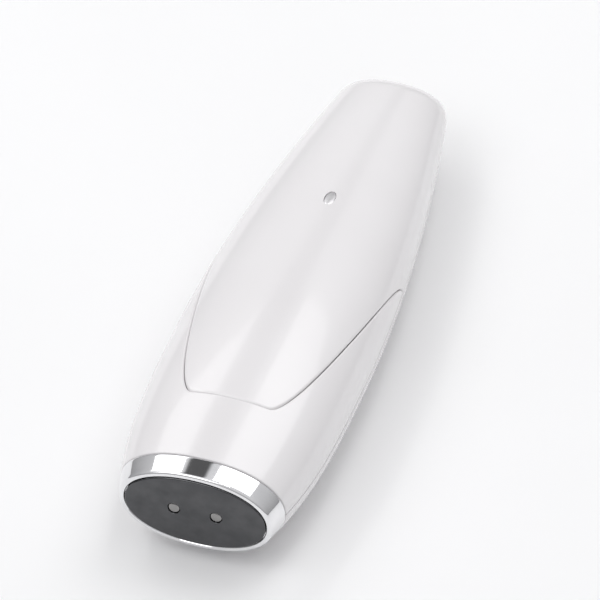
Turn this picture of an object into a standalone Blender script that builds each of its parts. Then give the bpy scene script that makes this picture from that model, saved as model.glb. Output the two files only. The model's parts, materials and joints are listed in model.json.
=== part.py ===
"""Handheld ultrasonic skin scrubber lying on its back, with its protective cap on.

The handle's axis runs along +Y from the base end to the tip, +X is to the right and the front
face looks up (+Z). "Station" is the distance along the axis from the base end face.
The origin is under the middle of the body, on the surface that the part lies on.
"""

import math

import bmesh
import bpy
from mathutils import Matrix, Vector

# Overall shape
length = 0.150
max_width = 0.0468
max_thickness = 0.0288
base_width = 0.0360
base_thickness = 0.0216
tip_width = 0.0244
tip_thickness = 0.0144
widest_station = 0.056
base_width_power = 3.4
base_thickness_power = 2.6
tip_width_power = 1.8
tip_thickness_power = 1.7
section_power = 2.15
round_power = 2
tip_corner_depth = 0.0065
tip_corner_width = 0.0040
tip_corner_thickness = 0.0060

# Walls and clearances
gap = 0.0003
shell_wall = 0.0019
cap_wall = 0.0018
cap_clearance = 0.0003
panel_drop = 0.0005
ramp_length = 0.006
step_slope = 0.0001
overlap = 0.0002
cut_lead = 0.001
cut_through = 0.02

# Cap rim: a tongue on the front that runs down to tongue_station, straight round the back
tongue_station = 0.025
tongue_angle = math.radians(68)
tongue_curve = 1.2
head_length = 0.048
neck_length = 0.018
badge_length = 0.0048
badge_width = 0.0024
badge_thickness = 0.0008
badge_from_tip = 0.053

# Base end
ring_length = 0.0057
ring_edge = 0.0004
disc_rim = 0.0013
disc_thickness = 0.0016
disc_proud = 0.00025
disc_edge = 0.0002
ledge_thickness = 0.0026
ledge_opening_width = 0.0196
ledge_opening_thickness = 0.0120
spigot_length = 0.0035
spigot_wall = 0.0022
base_seal_width = 0.0009
base_seal_setback = 0.0012
contact_radius = 0.0013
contact_spacing = 0.0100
charge_board_width = 0.0180
charge_board_height = 0.0096
charge_board_thickness = 0.0010
base_screw_spacing = 0.0244

# Screws
screw_head_radius = 0.0018
screw_head_height = 0.0010
screw_head_crown = 0.6
screw_head_side = 0.4
screw_radius = 0.0009
screw_point = 0.4
base_screw_length = 0.0120
board_screw_length = 0.0040
board_screw_room = 0.0005
base_screw_room = 0.002
neck_screw_spacing = 0.0230
neck_screw_setback = 0.012
neck_screw_bite = 0.0030
neck_boss_radius = 0.0032
front_boss_radius = 0.0024

# Inside the handle
chassis_thickness = 0.0012
chassis_drop = 0.0034
chassis_width = 0.0270
chassis_setback = 0.001
post_width = 0.0044
board_setback = 0.006
board_to_bolt = 0.003
board_thickness = 0.0012
board_width = 0.0260
boss_radius = 0.0020
boss_spacing = 0.0210
boss_inset = 0.0040
battery_width = 0.0240
battery_thickness = 0.0047
battery_length = 0.040
battery_setback = 0.003
pad_width = 0.0160
pad_length = 0.032
pad_thickness = 0.0009
lead_radius = 0.0005
battery_lead_across = 0.0026
charge_lead_across = 0.0062
solder_setback = 0.0022
transformer_width = 0.0090
transformer_length = 0.0100
transformer_height = 0.0032
transformer_offset = 0.0054
chip_width = 0.0060
chip_height = 0.0010
chip_offset = 0.0052
capacitor_radius = 0.0016
capacitor_length = 0.0070
capacitor_offset = 0.0060

# Button and lights
button_station = 0.047
button_width = 0.0128
button_length = 0.0088
button_proud = 0.0004
button_clearance = 0.00025
button_travel = 0.0005
flange_rim = 0.0010
flange_thickness = 0.0007
switch_width = 0.0060
switch_height = 0.0019
switch_floor = 0.0005
plunger_radius = 0.0017
plunger_proud = 0.0007
light_station = 0.058
light_spacing = 0.0050
light_radius = 0.0010
led_size = 0.0018
led_height = 0.0008

# Ultrasonic drive
horn_radius = 0.0062
horn_nose_radius = 0.0050
horn_length = 0.0138
horn_nose_length = 0.0050
piezo_radius = 0.0070
piezo_thickness = 0.0027
piezo_bore = 0.0026
electrode_ring_thickness = 0.0004
back_mass_length = 0.0087
bolt_radius = 0.0018
bolt_head_radius = 0.0038
bolt_head_height = 0.0030
bolt_grip = 0.0045
isolation_ring_radius = 0.0077
bulkhead_thickness = 0.0025

# Head
collar_length = 0.0072
collar_slot_width = 0.0272
collar_slot_height = 0.0052
collar_straight = 0.55
collar_turn = 0.85
collar_turn_inset = 0.0007
collar_end_inset = 0.0024
slot_power = 4
seal_start = 0.35
seal_lip = 0.0008
seal_bevel_width = 0.0003
seal_bevel_height = 0.0008
seal_slit_power = 8
blade_width = 0.0248
blade_tip_width = 0.0212
blade_thickness = 0.0008
blade_edge_thickness = 0.0003
blade_corner = 0.0035
blade_rise = 0.0014
blade_tip_setback = 0.0068
blade_shoulder_setback = 0.0006
blade_shoulder_length = 0.0016
blade_bend_setback = 0.004
tang_width = 0.0084
tang_length = 0.0068
neck_ring_width = 0.0010
neck_ring_setback = 0.008
neck_ring_clearance = 0.00015

# Back electrode, the flat face that the part lies on
electrode_width = 0.0180
electrode_length = 0.048
electrode_thickness = 0.0012
electrode_start = 0.030
electrode_corner = 0.0060
electrode_proud = 0.0006
contact_pin_radius = 0.0009

# Facets
turn_steps = 40
round_steps = 14
fine_steps = 20
screw_steps = 10

# Worked out from the sizes above
axis_height = max_thickness / 2 + electrode_proud
neck_step = cap_wall + cap_clearance
shell_start = ring_length + gap
spigot_end = ring_length + spigot_length
neck_end = length - head_length
collar_start = neck_end + gap
side_station = neck_end - neck_length
groove_start = neck_end - neck_ring_setback
neck_screw_station = neck_end - neck_screw_setback
horn_end = neck_end - gap
horn_start = horn_end - horn_length
front_piezo_start = horn_start - gap - piezo_thickness
electrode_ring_start = front_piezo_start - gap - electrode_ring_thickness
back_piezo_start = electrode_ring_start - gap - piezo_thickness
back_mass_start = back_piezo_start - gap - back_mass_length
bolt_start = back_mass_start - gap - bolt_head_height
chassis_start = spigot_end + 2 * gap
board_start = spigot_end + board_setback
board_end = bolt_start - board_to_bolt
ledge_start = disc_thickness + gap
ledge_end = ledge_start + ledge_thickness
charge_board_start = ledge_end + gap

FULL_TURN = [2 * math.pi * step / turn_steps for step in range(turn_steps)]
FRONT_HALF = [2 * math.pi * step / turn_steps for step in range(turn_steps // 2 + 1)]
BACK_HALF = [math.pi + angle for angle in FRONT_HALF]


# Scene helpers

def start_scene():
    for old in list(bpy.data.objects):
        bpy.data.objects.remove(old, do_unlink=True)
    collections = []
    for name in ("skin_scrubber", "cutters"):
        collection = bpy.data.collections.new(name)
        bpy.context.scene.collection.children.link(collection)
        collections.append(collection)
    collections[1].hide_render = True
    return collections


part_collection, cutter_collection = start_scene()


def material(name, colour, roughness, metallic=0.0, alpha=1.0):
    made = bpy.data.materials.get(name)
    if made:
        return made
    made = bpy.data.materials.new(name)
    made.use_nodes = True
    shader = made.node_tree.nodes["Principled BSDF"]
    shader.inputs["Base Color"].default_value = (*colour, 1.0)
    shader.inputs["Roughness"].default_value = roughness
    shader.inputs["Metallic"].default_value = metallic
    shader.inputs["Alpha"].default_value = alpha
    return made


def pearl_plastic():
    return material("pearl_plastic", (0.80, 0.79, 0.795), 0.18)


def chrome():
    return material("chrome", (0.86, 0.86, 0.87), 0.06, 1.0)


def smoked_mirror():
    return material("smoked_mirror", (0.10, 0.10, 0.105), 0.05, 1.0)


def stainless_steel():
    return material("stainless_steel", (0.66, 0.66, 0.67), 0.22, 1.0)


def screw_steel():
    return material("screw_steel", (0.45, 0.45, 0.46), 0.35, 1.0)


def brass():
    return material("brass", (0.78, 0.60, 0.30), 0.25, 1.0)


def contact_metal():
    return material("contact_metal", (0.34, 0.335, 0.33), 0.24, 1.0)


def black_rubber():
    return material("black_rubber", (0.025, 0.025, 0.026), 0.70)


def copper():
    return material("copper", (0.80, 0.45, 0.30), 0.30, 1.0)


def aluminium():
    return material("aluminium", (0.75, 0.75, 0.76), 0.35, 1.0)


def ceramic():
    return material("ceramic", (0.62, 0.58, 0.50), 0.60)


def black_plastic():
    return material("black_plastic", (0.03, 0.03, 0.03), 0.45)


def grey_silicone():
    return material("grey_silicone", (0.55, 0.55, 0.56), 0.60)


def circuit_board():
    return material("circuit_board", (0.02, 0.16, 0.08), 0.40)


def clear_plastic():
    return material("clear_plastic", (0.92, 0.94, 0.96), 0.05, 0.0, 0.5)


def battery_foil():
    return material("battery_foil", (0.60, 0.61, 0.63), 0.40, 0.6)


def foam():
    return material("foam", (0.10, 0.10, 0.11), 0.90)


def red_wire():
    return material("red_wire", (0.55, 0.03, 0.03), 0.50)


def black_wire():
    return material("black_wire", (0.02, 0.02, 0.02), 0.50)


def place(thing, colour, collection=None):
    """Puts an object in the part's collection, or hides it in the cutters' collection."""
    collection = collection or part_collection
    for old in list(thing.users_collection):
        old.objects.unlink(thing)
    collection.objects.link(thing)
    if collection is cutter_collection:
        thing.hide_render = True
        thing.display_type = "WIRE"
        return thing
    thing.data.materials.clear()
    thing.data.materials.append(colour())
    thing.data.shade_smooth()
    thing.data.set_sharp_from_angle(angle=math.radians(35))
    return thing


def loft(name, rings, colour=None, closed=False):
    """A solid through rings of equally many points: capped at both ends, or closed on itself."""
    mesh = bpy.data.meshes.new(name)
    shape = bmesh.new()
    loops = [[shape.verts.new(point) for point in ring] for ring in rings]
    following = loops[1:] + loops[:1] if closed else loops[1:]
    for near, far in zip(loops, following):
        for at in range(len(near)):
            after = (at + 1) % len(near)
            shape.faces.new((near[at], near[after], far[after], far[at]))
    if not closed:
        shape.faces.new(loops[0])
        shape.faces.new(list(reversed(loops[-1])))
    bmesh.ops.recalc_face_normals(shape, faces=shape.faces)
    shape.to_mesh(mesh)
    shape.free()
    thing = bpy.data.objects.new(name, mesh)
    return place(thing, colour, None if colour else cutter_collection)


def at_station(station, across=0.0, up=0.0):
    return Vector((across, station - length / 2, axis_height + up))


def block(name, size, centre, colour=None):
    """A box of size (across, along, up) around a point."""
    bpy.ops.mesh.primitive_cube_add(size=1, location=centre)
    thing = bpy.context.object
    thing.name = name
    thing.data.name = name
    thing.data.transform(Matrix.Diagonal((*size, 1.0)))
    return place(thing, colour, None if colour else cutter_collection)


def rod(name, radius, depth, start, direction="Y", colour=None, sides=None):
    """A cylinder that starts at a point and runs depth along +Y or +Z."""
    turn = Matrix.Rotation(-math.pi / 2, 4, "X") if direction == "Y" else Matrix.Identity(4)
    run = Vector((0, depth / 2, 0)) if direction == "Y" else Vector((0, 0, depth / 2))
    sides = sides or round_steps
    bpy.ops.mesh.primitive_cylinder_add(radius=1, depth=depth, vertices=sides)
    thing = bpy.context.object
    thing.name = name
    thing.data.name = name
    across, along = radius if isinstance(radius, tuple) else (radius, radius)
    half_step = Matrix.Rotation(math.pi / sides, 4, "Z")
    thing.data.transform(turn @ Matrix.Diagonal((across, along, 1.0, 1.0)) @ half_step)
    thing.location = start + run
    return place(thing, colour, None if colour else cutter_collection)


def turned(name, profile, start, colour, direction="Y", sides=None):
    """A turned piece: profile lists (radius, height) down its outer side, top to bottom."""
    mesh = bpy.data.meshes.new(name)
    edges = [(at, at + 1) for at in range(len(profile) - 1)]
    hollow = profile[0][0] > 0 and profile[-1][0] > 0
    if hollow:
        edges.append((len(profile) - 1, 0))
    mesh.from_pydata([(radius, 0, height) for radius, height in profile], edges, [])
    thing = bpy.data.objects.new(name, mesh)
    part_collection.objects.link(thing)
    screw = thing.modifiers.new("turn", "SCREW")
    screw.steps = sides or fine_steps
    screw.render_steps = sides or fine_steps
    screw.use_merge_vertices = True
    screw.merge_threshold = 0.00001
    thing.location = start
    if direction == "Y":
        thing.rotation_euler = (-math.pi / 2, 0, 0)
    mesh.materials.append(colour())
    return thing


def tube(name, points, radius, colour):
    """A round wire through points."""
    curve = bpy.data.curves.new(name, "CURVE")
    curve.dimensions = "3D"
    curve.bevel_depth = radius
    curve.bevel_resolution = 2
    curve.use_fill_caps = True
    spline = curve.splines.new("POLY")
    smooth = smooth_route(points)
    spline.points.add(len(smooth) - 1)
    for point, place_at in zip(spline.points, smooth):
        point.co = (*place_at, 1.0)
    thing = bpy.data.objects.new(name, curve)
    part_collection.objects.link(thing)
    curve.materials.append(colour())
    return thing


def smooth_route(points, steps=2):
    """Catmull-Rom points between the route's own points."""
    ends = [points[0] * 2 - points[1], *points, points[-1] * 2 - points[-2]]
    route = []
    for a, b, c, d in zip(ends, ends[1:], ends[2:], ends[3:]):
        for step in range(steps):
            t = step / steps
            bend = (c - a) * t + (2 * a - 5 * b + 4 * c - d) * t**2
            route.append(b + 0.5 * (bend + (3 * b - a - 3 * c + d) * t**3))
    return route + [points[-1]]


def combine(target, other, operation="DIFFERENCE"):
    """Cuts, joins or keeps the shared part of another solid, which moves to the cutters."""
    if other.name not in cutter_collection.objects:
        place(other, None, cutter_collection)
    change = target.modifiers.new(other.name, "BOOLEAN")
    change.operation = operation
    change.object = other
    return target


# Shape of the body

def half_size(station, base, widest, tip, base_power, tip_power):
    """Half a cross-section's width or height, a power curve each way from the widest station."""
    if station < widest_station:
        share = (widest_station - station) / widest_station
        return widest - (widest - base) * share**base_power
    share = min((station - widest_station) / (length - widest_station), 1.0)
    return widest - (widest - tip) * share**tip_power


def half_width(station):
    return half_size(station, base_width / 2, max_width / 2, tip_width / 2,
                     base_width_power, tip_width_power)


def half_thickness(station):
    return half_size(station, base_thickness / 2, max_thickness / 2, tip_thickness / 2,
                     base_thickness_power, tip_thickness_power)


def oval_point(station, angle, across, up, power=section_power):
    """A point on a superellipse with half axes across and up, square to the handle's axis."""
    cosine = math.cos(angle)
    sine = math.sin(angle)
    x = across * math.copysign(abs(cosine) ** (2 / power), cosine)
    z = up * math.copysign(abs(sine) ** (2 / power), sine)
    return at_station(station, x, z)


def corner_share(station, inset):
    """How far the tip's rounded corner has come in: 0 where it starts, 1 at the end face."""
    end = length - inset
    along = min(max(station - end + tip_corner_depth, 0.0) / tip_corner_depth, 1.0)
    return 1 - math.sqrt(1 - along * along)


def body_point(station, angle, inset=0.0):
    corner = corner_share(station, inset)
    across = half_width(station) - inset - tip_corner_width * corner
    up = half_thickness(station) - inset - tip_corner_thickness * corner
    return oval_point(station, angle, across, up)


def rim_station(angle):
    """Where the cap's rim crosses the line at this angle round the body."""
    if math.sin(angle) <= 0:
        return side_station
    lean = min(angle, math.pi - angle)
    share = min(lean / tongue_angle, 1.0) ** tongue_curve
    return side_station - (side_station - tongue_station) * share * share * (3 - 2 * share)


def neck_half_height(station, angle):
    """Half height under the cap. It never rises towards the tip, so the tongue slides off."""
    if math.sin(angle) <= 0:
        return half_thickness(station) - neck_step
    lowest = min(half_thickness(station), half_thickness(tongue_station))
    return lowest - neck_step - panel_drop


def neck_point(station, angle, inset=0.0):
    across = half_width(station) - neck_step - inset
    return oval_point(station, angle, across, neck_half_height(station, angle) - inset)


def height_at(station, across, inset=0.0, front=True):
    """Height above the axis of the neck's surface, or of a surface inset from it."""
    up = neck_half_height(station, math.pi / 2 if front else -math.pi / 2) - inset
    share = min(abs(across) / (half_width(station) - neck_step - inset), 1.0)
    return up * (1 - share**section_power) ** (1 / section_power)


def inner_point(station, angle):
    """The handle's inside wall, which moves in just before the cap's rim."""
    ramp = (station - rim_station(angle) + ramp_length) / ramp_length
    ramp = min(max(ramp, 0.0), 1.0)
    outer = body_point(station, angle, shell_wall)
    return outer.lerp(neck_point(station, angle, shell_wall), ramp)


def spread(start, end, steps):
    return [start + (end - start) * step / steps for step in range(steps + 1)]


def body_ring(station, inset=0.0):
    return [body_point(station, angle, inset) for angle in FULL_TURN]


def oval_ring(station, across, up, power=section_power):
    return [oval_point(station, angle, across, up, power) for angle in FULL_TURN]


# Cap

def cap_rings(inset):
    """Rings from the rim to the tip. Each of the first ones follows the rim's curve."""
    end = length - inset
    blend_end = end - tip_corner_depth
    rings = []
    for share in spread(0, 1, 10):
        rings.append([
            body_point(rim_station(angle) + (blend_end - rim_station(angle)) * share, angle, inset)
            for angle in FULL_TURN
        ])
    for turn in spread(0, math.pi / 2, 5)[1:]:
        rings.append(body_ring(blend_end + tip_corner_depth * math.sin(turn), inset))
    return rings


def make_cap():
    cap = loft("cap_shell", list(reversed(cap_rings(cap_wall))) + cap_rings(0.0), pearl_plastic)
    station = length - badge_from_tip
    surface = half_thickness(station)
    size = (badge_width / 2, badge_length / 2)
    start = at_station(station, 0, surface - badge_thickness)
    badge = rod("cap_badge", size, badge_thickness, start, "Z", chrome, fine_steps)
    pocket_size = (size[0] + gap, size[1] + gap)
    start = at_station(station, 0, surface - badge_thickness - gap)
    combine(cap, rod("badge_pocket", pocket_size, cut_through, start, "Z", None, fine_steps))
    return cap, badge


# Handle shells

def shell_loop(angles, outer, inner):
    """A C-shaped loop: the outer half turn one way and the inner half turn back."""
    side = math.copysign(gap / 2, math.sin(angles[len(angles) // 2]))
    loop = []
    for make, run in ((outer, angles), (inner, list(reversed(angles)))):
        for angle in run:
            point = make(angle)
            rise = point.z - axis_height
            point.z = axis_height + (max(rise, side) if side > 0 else min(rise, side))
            loop.append(point)
    return loop


def make_half_shell(name, angles):
    """Half of the handle: its outside, a step in at the cap's rim, the neck and a bulkhead."""
    loops = []

    def rim(angle):
        return rim_station(angle) - gap - step_slope

    def add(outer, inner):
        loops.append(shell_loop(angles, outer, inner))

    for share in spread(0, 1, 7):
        def base_to_rim(angle, share=share ** 1.5):
            return shell_start + (rim(angle) - shell_start) * share

        add(lambda angle: body_point(base_to_rim(angle), angle),
            lambda angle: inner_point(base_to_rim(angle) - 2 * gap * share, angle))
    for share in spread(0, 1, 4):
        def rim_to_groove(angle, share=share):
            start = rim(angle) + step_slope
            return start + (groove_start - start) * share

        add(lambda angle: neck_point(rim_to_groove(angle), angle),
            lambda angle: inner_point(rim_to_groove(angle) + gap, angle))
    groove_depth = neck_ring_width + gap - neck_ring_clearance
    groove_end = groove_start + neck_ring_width + 2 * gap
    bulkhead = neck_end - bulkhead_thickness
    opening = isolation_ring_radius + gap
    for station, depth in ((groove_start + step_slope, groove_depth), (groove_end, groove_depth),
                           (groove_end + step_slope, 0.0)):
        add(lambda angle: neck_point(station, angle, depth),
            lambda angle: inner_point(station + 2 * gap, angle))
    add(lambda angle: neck_point(bulkhead - gap, angle),
        lambda angle: inner_point(bulkhead, angle))
    add(lambda angle: neck_point(bulkhead + gap, angle),
        lambda angle: oval_point(bulkhead, angle, opening, opening, round_power))
    add(lambda angle: neck_point(neck_end, angle),
        lambda angle: oval_point(neck_end, angle, opening, opening, round_power))
    return loft(name, loops, pearl_plastic)


def neck_screw_places():
    return [(side, at_station(neck_screw_station, side * neck_screw_spacing / 2)) for side in (-1, 1)]


def neck_screw_depth():
    """How far below the axis the heads lie, so that they and their bosses stay inside the neck."""
    return height_at(neck_screw_station, neck_screw_spacing / 2 + neck_boss_radius, 0, False) - gap


def make_front_shell():
    shell = make_half_shell("front_shell", FRONT_HALF)
    for side, centre in neck_screw_places():
        start = centre + Vector((0, 0, gap / 2))
        depth = height_at(neck_screw_station, neck_screw_spacing / 2 + front_boss_radius) - gap
        combine(shell, rod(f"front_boss_{side}", front_boss_radius, depth, start, "Z"), "UNION")
        pilot = centre - Vector((0, 0, cut_lead))
        bore = cut_lead + neck_screw_bite + 4 * gap
        combine(shell, rod(f"front_pilot_{side}", screw_radius + gap, bore, pilot, "Z"))
    hole = (button_width / 2 + button_clearance, button_length / 2 + button_clearance)
    start = at_station(button_station)
    combine(shell, rod("button_hole", hole, cut_through, start, "Z", None, fine_steps))
    for column in (-1, 0, 1):
        start = at_station(light_station, column * light_spacing)
        combine(shell, rod(f"light_hole_{column}", light_radius + gap, cut_through, start, "Z"))
    return shell


def make_back_shell():
    shell = make_half_shell("back_shell", BACK_HALF)
    sunk = neck_screw_depth()
    for side, centre in neck_screw_places():
        foot = centre - Vector((0, 0, sunk))
        depth = sunk - gap / 2
        combine(shell, rod(f"back_boss_{side}", neck_boss_radius, depth, foot, "Z"), "UNION")
        low = centre - Vector((0, 0, cut_through))
        bore = cut_through - sunk + screw_head_height + gap
        combine(shell, rod(f"back_counterbore_{side}", screw_head_radius + gap, bore, low, "Z"))
        combine(shell, rod(f"back_bore_{side}", screw_radius + gap, 2 * cut_through, low, "Z"))
    pocket = electrode_plate("electrode_pocket", gap, electrode_thickness + gap, cut_through)
    combine(shell, pocket)
    low = at_station(contact_pin_station()) - Vector((0, 0, cut_through))
    combine(shell, rod("contact_pin_bore", contact_pin_radius + gap, cut_through, low, "Z"))
    return shell


def make_neck_ring():
    """A soft ring in the neck's groove that the cap grips."""
    centre = groove_start + gap + neck_ring_width / 2
    radius = neck_ring_width / 2
    deepest = radius - neck_ring_clearance
    rings = []
    for turn in [2 * math.pi * step / 8 for step in range(8)]:
        station = centre + radius * math.cos(turn)
        inset = deepest + radius * math.sin(turn)
        rings.append([neck_point(centre, angle, inset) + Vector((0, station - centre, 0))
                      for angle in FULL_TURN[::2]])
    return loft("neck_ring", rings, grey_silicone, True)


# Base end

def make_base_ring():
    """A chrome band with a spigot inside the shells and a ledge behind the end disc."""
    spigot = shell_wall + gap
    inside = spigot + spigot_wall
    seal_groove = base_seal_width + gap
    groove = ring_length + base_seal_setback
    seat = (base_width / 2 - disc_rim + gap, base_thickness / 2 - disc_rim + gap)
    ledge = (ledge_opening_width / 2, ledge_opening_thickness / 2)
    rings = [body_ring(disc_proud, ring_edge), body_ring(disc_proud + ring_edge)]
    rings += [body_ring(station) for station in spread(disc_proud + ring_edge, ring_length, 3)[1:]]
    for station, inset in ((ring_length, spigot), (groove, spigot), (groove, spigot + seal_groove),
                           (groove + seal_groove + gap, spigot + seal_groove),
                           (groove + seal_groove + gap, spigot), (spigot_end, spigot),
                           (spigot_end, inside), (ledge_end, inside)):
        rings.append(body_ring(station, inset))
    for station, size in ((ledge_end, ledge), (ledge_start, ledge), (ledge_start, seat),
                          (disc_proud, seat)):
        rings.append(oval_ring(station, *size))
    ring = loft("base_ring", rings, chrome, True)
    for side in (-1, 1):
        across = side * base_screw_spacing / 2
        start = at_station(-cut_lead, across)
        sunk = ledge_start + screw_head_height + gap + cut_lead
        combine(ring, rod(f"base_counterbore_{side}", screw_head_radius + gap, sunk, start))
        combine(ring, rod(f"base_bore_{side}", screw_radius + gap, sunk + ledge_thickness, start))
    return ring


def make_base_disc():
    across = base_width / 2 - disc_rim
    up = base_thickness / 2 - disc_rim
    disc = loft("base_disc", [oval_ring(0, across - disc_edge, up - disc_edge),
                              oval_ring(disc_edge, across, up),
                              oval_ring(disc_thickness, across, up)], smoked_mirror)
    for side in (-1, 1):
        start = at_station(-cut_lead, side * contact_spacing / 2)
        combine(disc, rod(f"contact_hole_{side}", contact_radius + gap, cut_through, start))
    return disc


def make_base_seal():
    """A sealing ring on the spigot, between the chrome band and the shells."""
    radius = base_seal_width / 2
    centre = ring_length + base_seal_setback + gap + radius
    middle = shell_wall + gap + radius
    rings = []
    for turn in [2 * math.pi * step / 8 for step in range(8)]:
        ring = body_ring(centre, middle + radius * math.sin(turn))[::2]
        rings.append([point + Vector((0, radius * math.cos(turn), 0)) for point in ring])
    return loft("base_seal", rings, black_rubber, True)


def make_charging():
    for side, label in ((-1, "left"), (1, "right")):
        start = at_station(0, side * contact_spacing / 2)
        rod(f"charge_contact_{label}", contact_radius, charge_board_start - gap, start, "Y",
            contact_metal)
        start = at_station(ledge_start + gap, side * base_screw_spacing / 2)
        make_screw(f"base_screw_{label}", base_screw_length, start, "Y")
    centre = at_station(charge_board_start + charge_board_thickness / 2)
    size = (charge_board_width, charge_board_thickness, charge_board_height)
    block("charge_board", size, centre, circuit_board)


# Screws

def make_screw(name, shank, start, direction):
    """A pan-head screw: the head starts at the point given and the shank runs on along +Y or +Z."""
    tip = screw_head_height + shank
    profile = [(0, tip), (screw_radius * screw_point, tip), (screw_radius, tip - screw_radius),
               (screw_radius, screw_head_height), (screw_head_radius, screw_head_height),
               (screw_head_radius, screw_head_height * screw_head_side),
               (screw_head_radius * screw_head_crown, 0), (0, 0)]
    return turned(name, profile, start, screw_steel, direction, screw_steps)


def make_neck_screws():
    for side, centre in neck_screw_places():
        label = "left" if side < 0 else "right"
        start = centre - Vector((0, 0, neck_screw_depth()))
        shank = neck_screw_depth() - screw_head_height + neck_screw_bite
        make_screw(f"neck_screw_{label}", shank, start, "Z")


# Inside the handle

def board_rise():
    """The board's underside: as high as the transformer on it allows."""
    edge = transformer_offset + transformer_width / 2
    room = height_at(tongue_station, edge, shell_wall)
    return room - 2 * gap - transformer_height - board_thickness - gap


def board_top():
    return board_rise() + board_thickness


def part_top():
    return board_top() + gap


def boss_places():
    stations = (board_start + boss_inset, board_end - boss_inset)
    return [at_station(station, side * boss_spacing / 2) for station in stations for side in (-1, 1)]


def contact_pin_station():
    return board_end - boss_inset


def make_chassis():
    """A plastic frame between battery and board, with board posts and base screw posts."""
    top = -chassis_drop + chassis_thickness
    end = board_end - chassis_setback
    centre = at_station((chassis_start + end) / 2, 0, top - chassis_thickness / 2)
    chassis = block("chassis", (chassis_width, end - chassis_start, chassis_thickness), centre,
                    black_plastic)
    for side in (-1, 1):
        post_length = board_start - chassis_start - gap
        rise = post_width / 2 + chassis_drop - overlap
        centre = at_station(chassis_start + overlap + post_length / 2, side * base_screw_spacing / 2,
                            post_width / 2 - rise / 2)
        size = (post_width, post_length, rise)
        combine(chassis, block(f"screw_post_{side}", size, centre), "UNION")
        start = at_station(0, side * base_screw_spacing / 2)
        bore = disc_thickness + base_screw_length + screw_head_height + base_screw_room
        combine(chassis, rod(f"post_bore_{side}", screw_radius + gap, bore, start))
    for at, centre in enumerate(boss_places()):
        start = centre + Vector((0, 0, top - overlap))
        depth = board_rise() - gap - top + overlap
        combine(chassis, rod(f"board_boss_{at}", boss_radius, depth, start, "Z"), "UNION")
        pilot = centre + Vector((0, 0, board_top() + gap - board_screw_length - board_screw_room))
        combine(chassis, rod(f"board_pilot_{at}", screw_radius + gap, cut_through, pilot, "Z"))
    start = at_station(contact_pin_station(), 0, -cut_through / 2)
    combine(chassis, rod("chassis_pin_hole", contact_pin_radius + 2 * gap, cut_through, start, "Z"))
    return chassis


def make_board():
    centre = at_station((board_start + board_end) / 2, 0, board_rise() + board_thickness / 2)
    board = block("main_board", (board_width, board_end - board_start, board_thickness), centre,
                  circuit_board)
    for at, centre in enumerate(boss_places()):
        start = centre + Vector((0, 0, board_rise() - cut_lead))
        combine(board, rod(f"board_hole_{at}", screw_radius + gap, cut_through, start, "Z"))
        # The screw points down, so it is turned over about the board's top face.
        screw = make_screw(f"board_screw_{at + 1}", board_screw_length, Vector(), "Z")
        screw.location = centre + Vector((0, 0, board_top() + gap + screw_head_height))
        screw.rotation_euler = (math.pi, 0, 0)
    return board


def make_board_parts():
    rise = part_top()
    middle = (board_start + button_station) / 2
    centre = at_station(middle, -transformer_offset, rise + transformer_height / 2)
    size = (transformer_width, transformer_length, transformer_height)
    block("drive_transformer", size, centre, black_plastic)
    centre = at_station(middle + chip_width / 2, chip_offset, rise + chip_height / 2)
    block("microcontroller", (chip_width, chip_width, chip_height), centre, black_plastic)
    start = at_station(middle - capacitor_length - 2 * gap, capacitor_offset, rise + capacitor_radius)
    rod("drive_capacitor", capacitor_radius, capacitor_length, start, "Y", aluminium)
    for column, label in ((-1, "left"), (0, "middle"), (1, "right")):
        centre = at_station(light_station, column * light_spacing, rise + led_height / 2)
        block(f"indicator_light_{label}", (led_size, led_size, led_height), centre, clear_plastic)
        foot = rise + led_height + gap
        reach = abs(column) * light_spacing + light_radius
        depth = height_at(light_station, reach) - foot
        start = at_station(light_station, column * light_spacing, foot)
        rod(f"light_pipe_{label}", light_radius, depth, start, "Z", clear_plastic)


def make_battery():
    top = -chassis_drop - gap
    start = board_start + battery_setback
    centre = at_station(start + battery_length / 2, 0, top - battery_thickness / 2)
    block("battery_cell", (battery_width, battery_length, battery_thickness), centre, battery_foil)
    under = top - battery_thickness - gap - pad_thickness / 2
    centre = at_station(start + battery_length / 2, 0, under)
    block("battery_pad", (pad_width, pad_length, pad_thickness), centre, foam)


def make_leads():
    pad = part_top() + lead_radius
    over = board_start + solder_setback
    before = board_start - 1.3 * solder_setback
    cell = -chassis_drop - gap - battery_thickness / 2
    board_at = charge_board_start + charge_board_thickness
    for side, label, colour in ((-1, "left", black_wire), (1, "right", red_wire)):
        across = side * battery_lead_across
        tube(f"battery_lead_{label}", [
            at_station(board_start + battery_setback - gap, across, cell),
            at_station(chassis_start + 0.0016, across, cell),
            at_station(chassis_start - 0.0014, across, cell + 0.0026),
            at_station(chassis_start - 0.0014, across, 0.0006),
            at_station(before, across, pad - 0.0001),
            at_station(over, across, pad),
        ], lead_radius, colour)
        across = side * charge_lead_across
        tube(f"charge_lead_{label}", [
            at_station(board_at + gap, across, 0.0012),
            at_station(board_at + 0.0022, across, 0.0016),
            at_station(chassis_start + 0.001, across, 0.0042),
            at_station(over - 0.002, across, pad + 0.0002),
            at_station(over, across, pad),
        ], lead_radius, colour)
    rim = piezo_radius + gap + lead_radius
    back = bolt_head_radius + gap + lead_radius
    tube("transducer_lead_left", [
        at_station(board_end - solder_setback, -0.0070, pad),
        at_station(board_end + 0.001, -0.0084, pad - 0.0004),
        at_station(back_mass_start, -0.0102, 0.0030),
        at_station(back_piezo_start, -rim - 0.0012, 0.0012),
        at_station(electrode_ring_start + electrode_ring_thickness / 2, -rim, 0),
    ], lead_radius, black_wire)
    tube("transducer_lead_right", [
        at_station(board_end - solder_setback, 0.0046, pad),
        at_station(board_end + 0.0006, 0.0056, pad - 0.0002),
        at_station(bolt_start + 0.0008, back + 0.0010, 0.0022),
        at_station(back_mass_start - gap - lead_radius, back + 0.0004, 0),
    ], lead_radius, red_wire)


# Button

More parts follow.
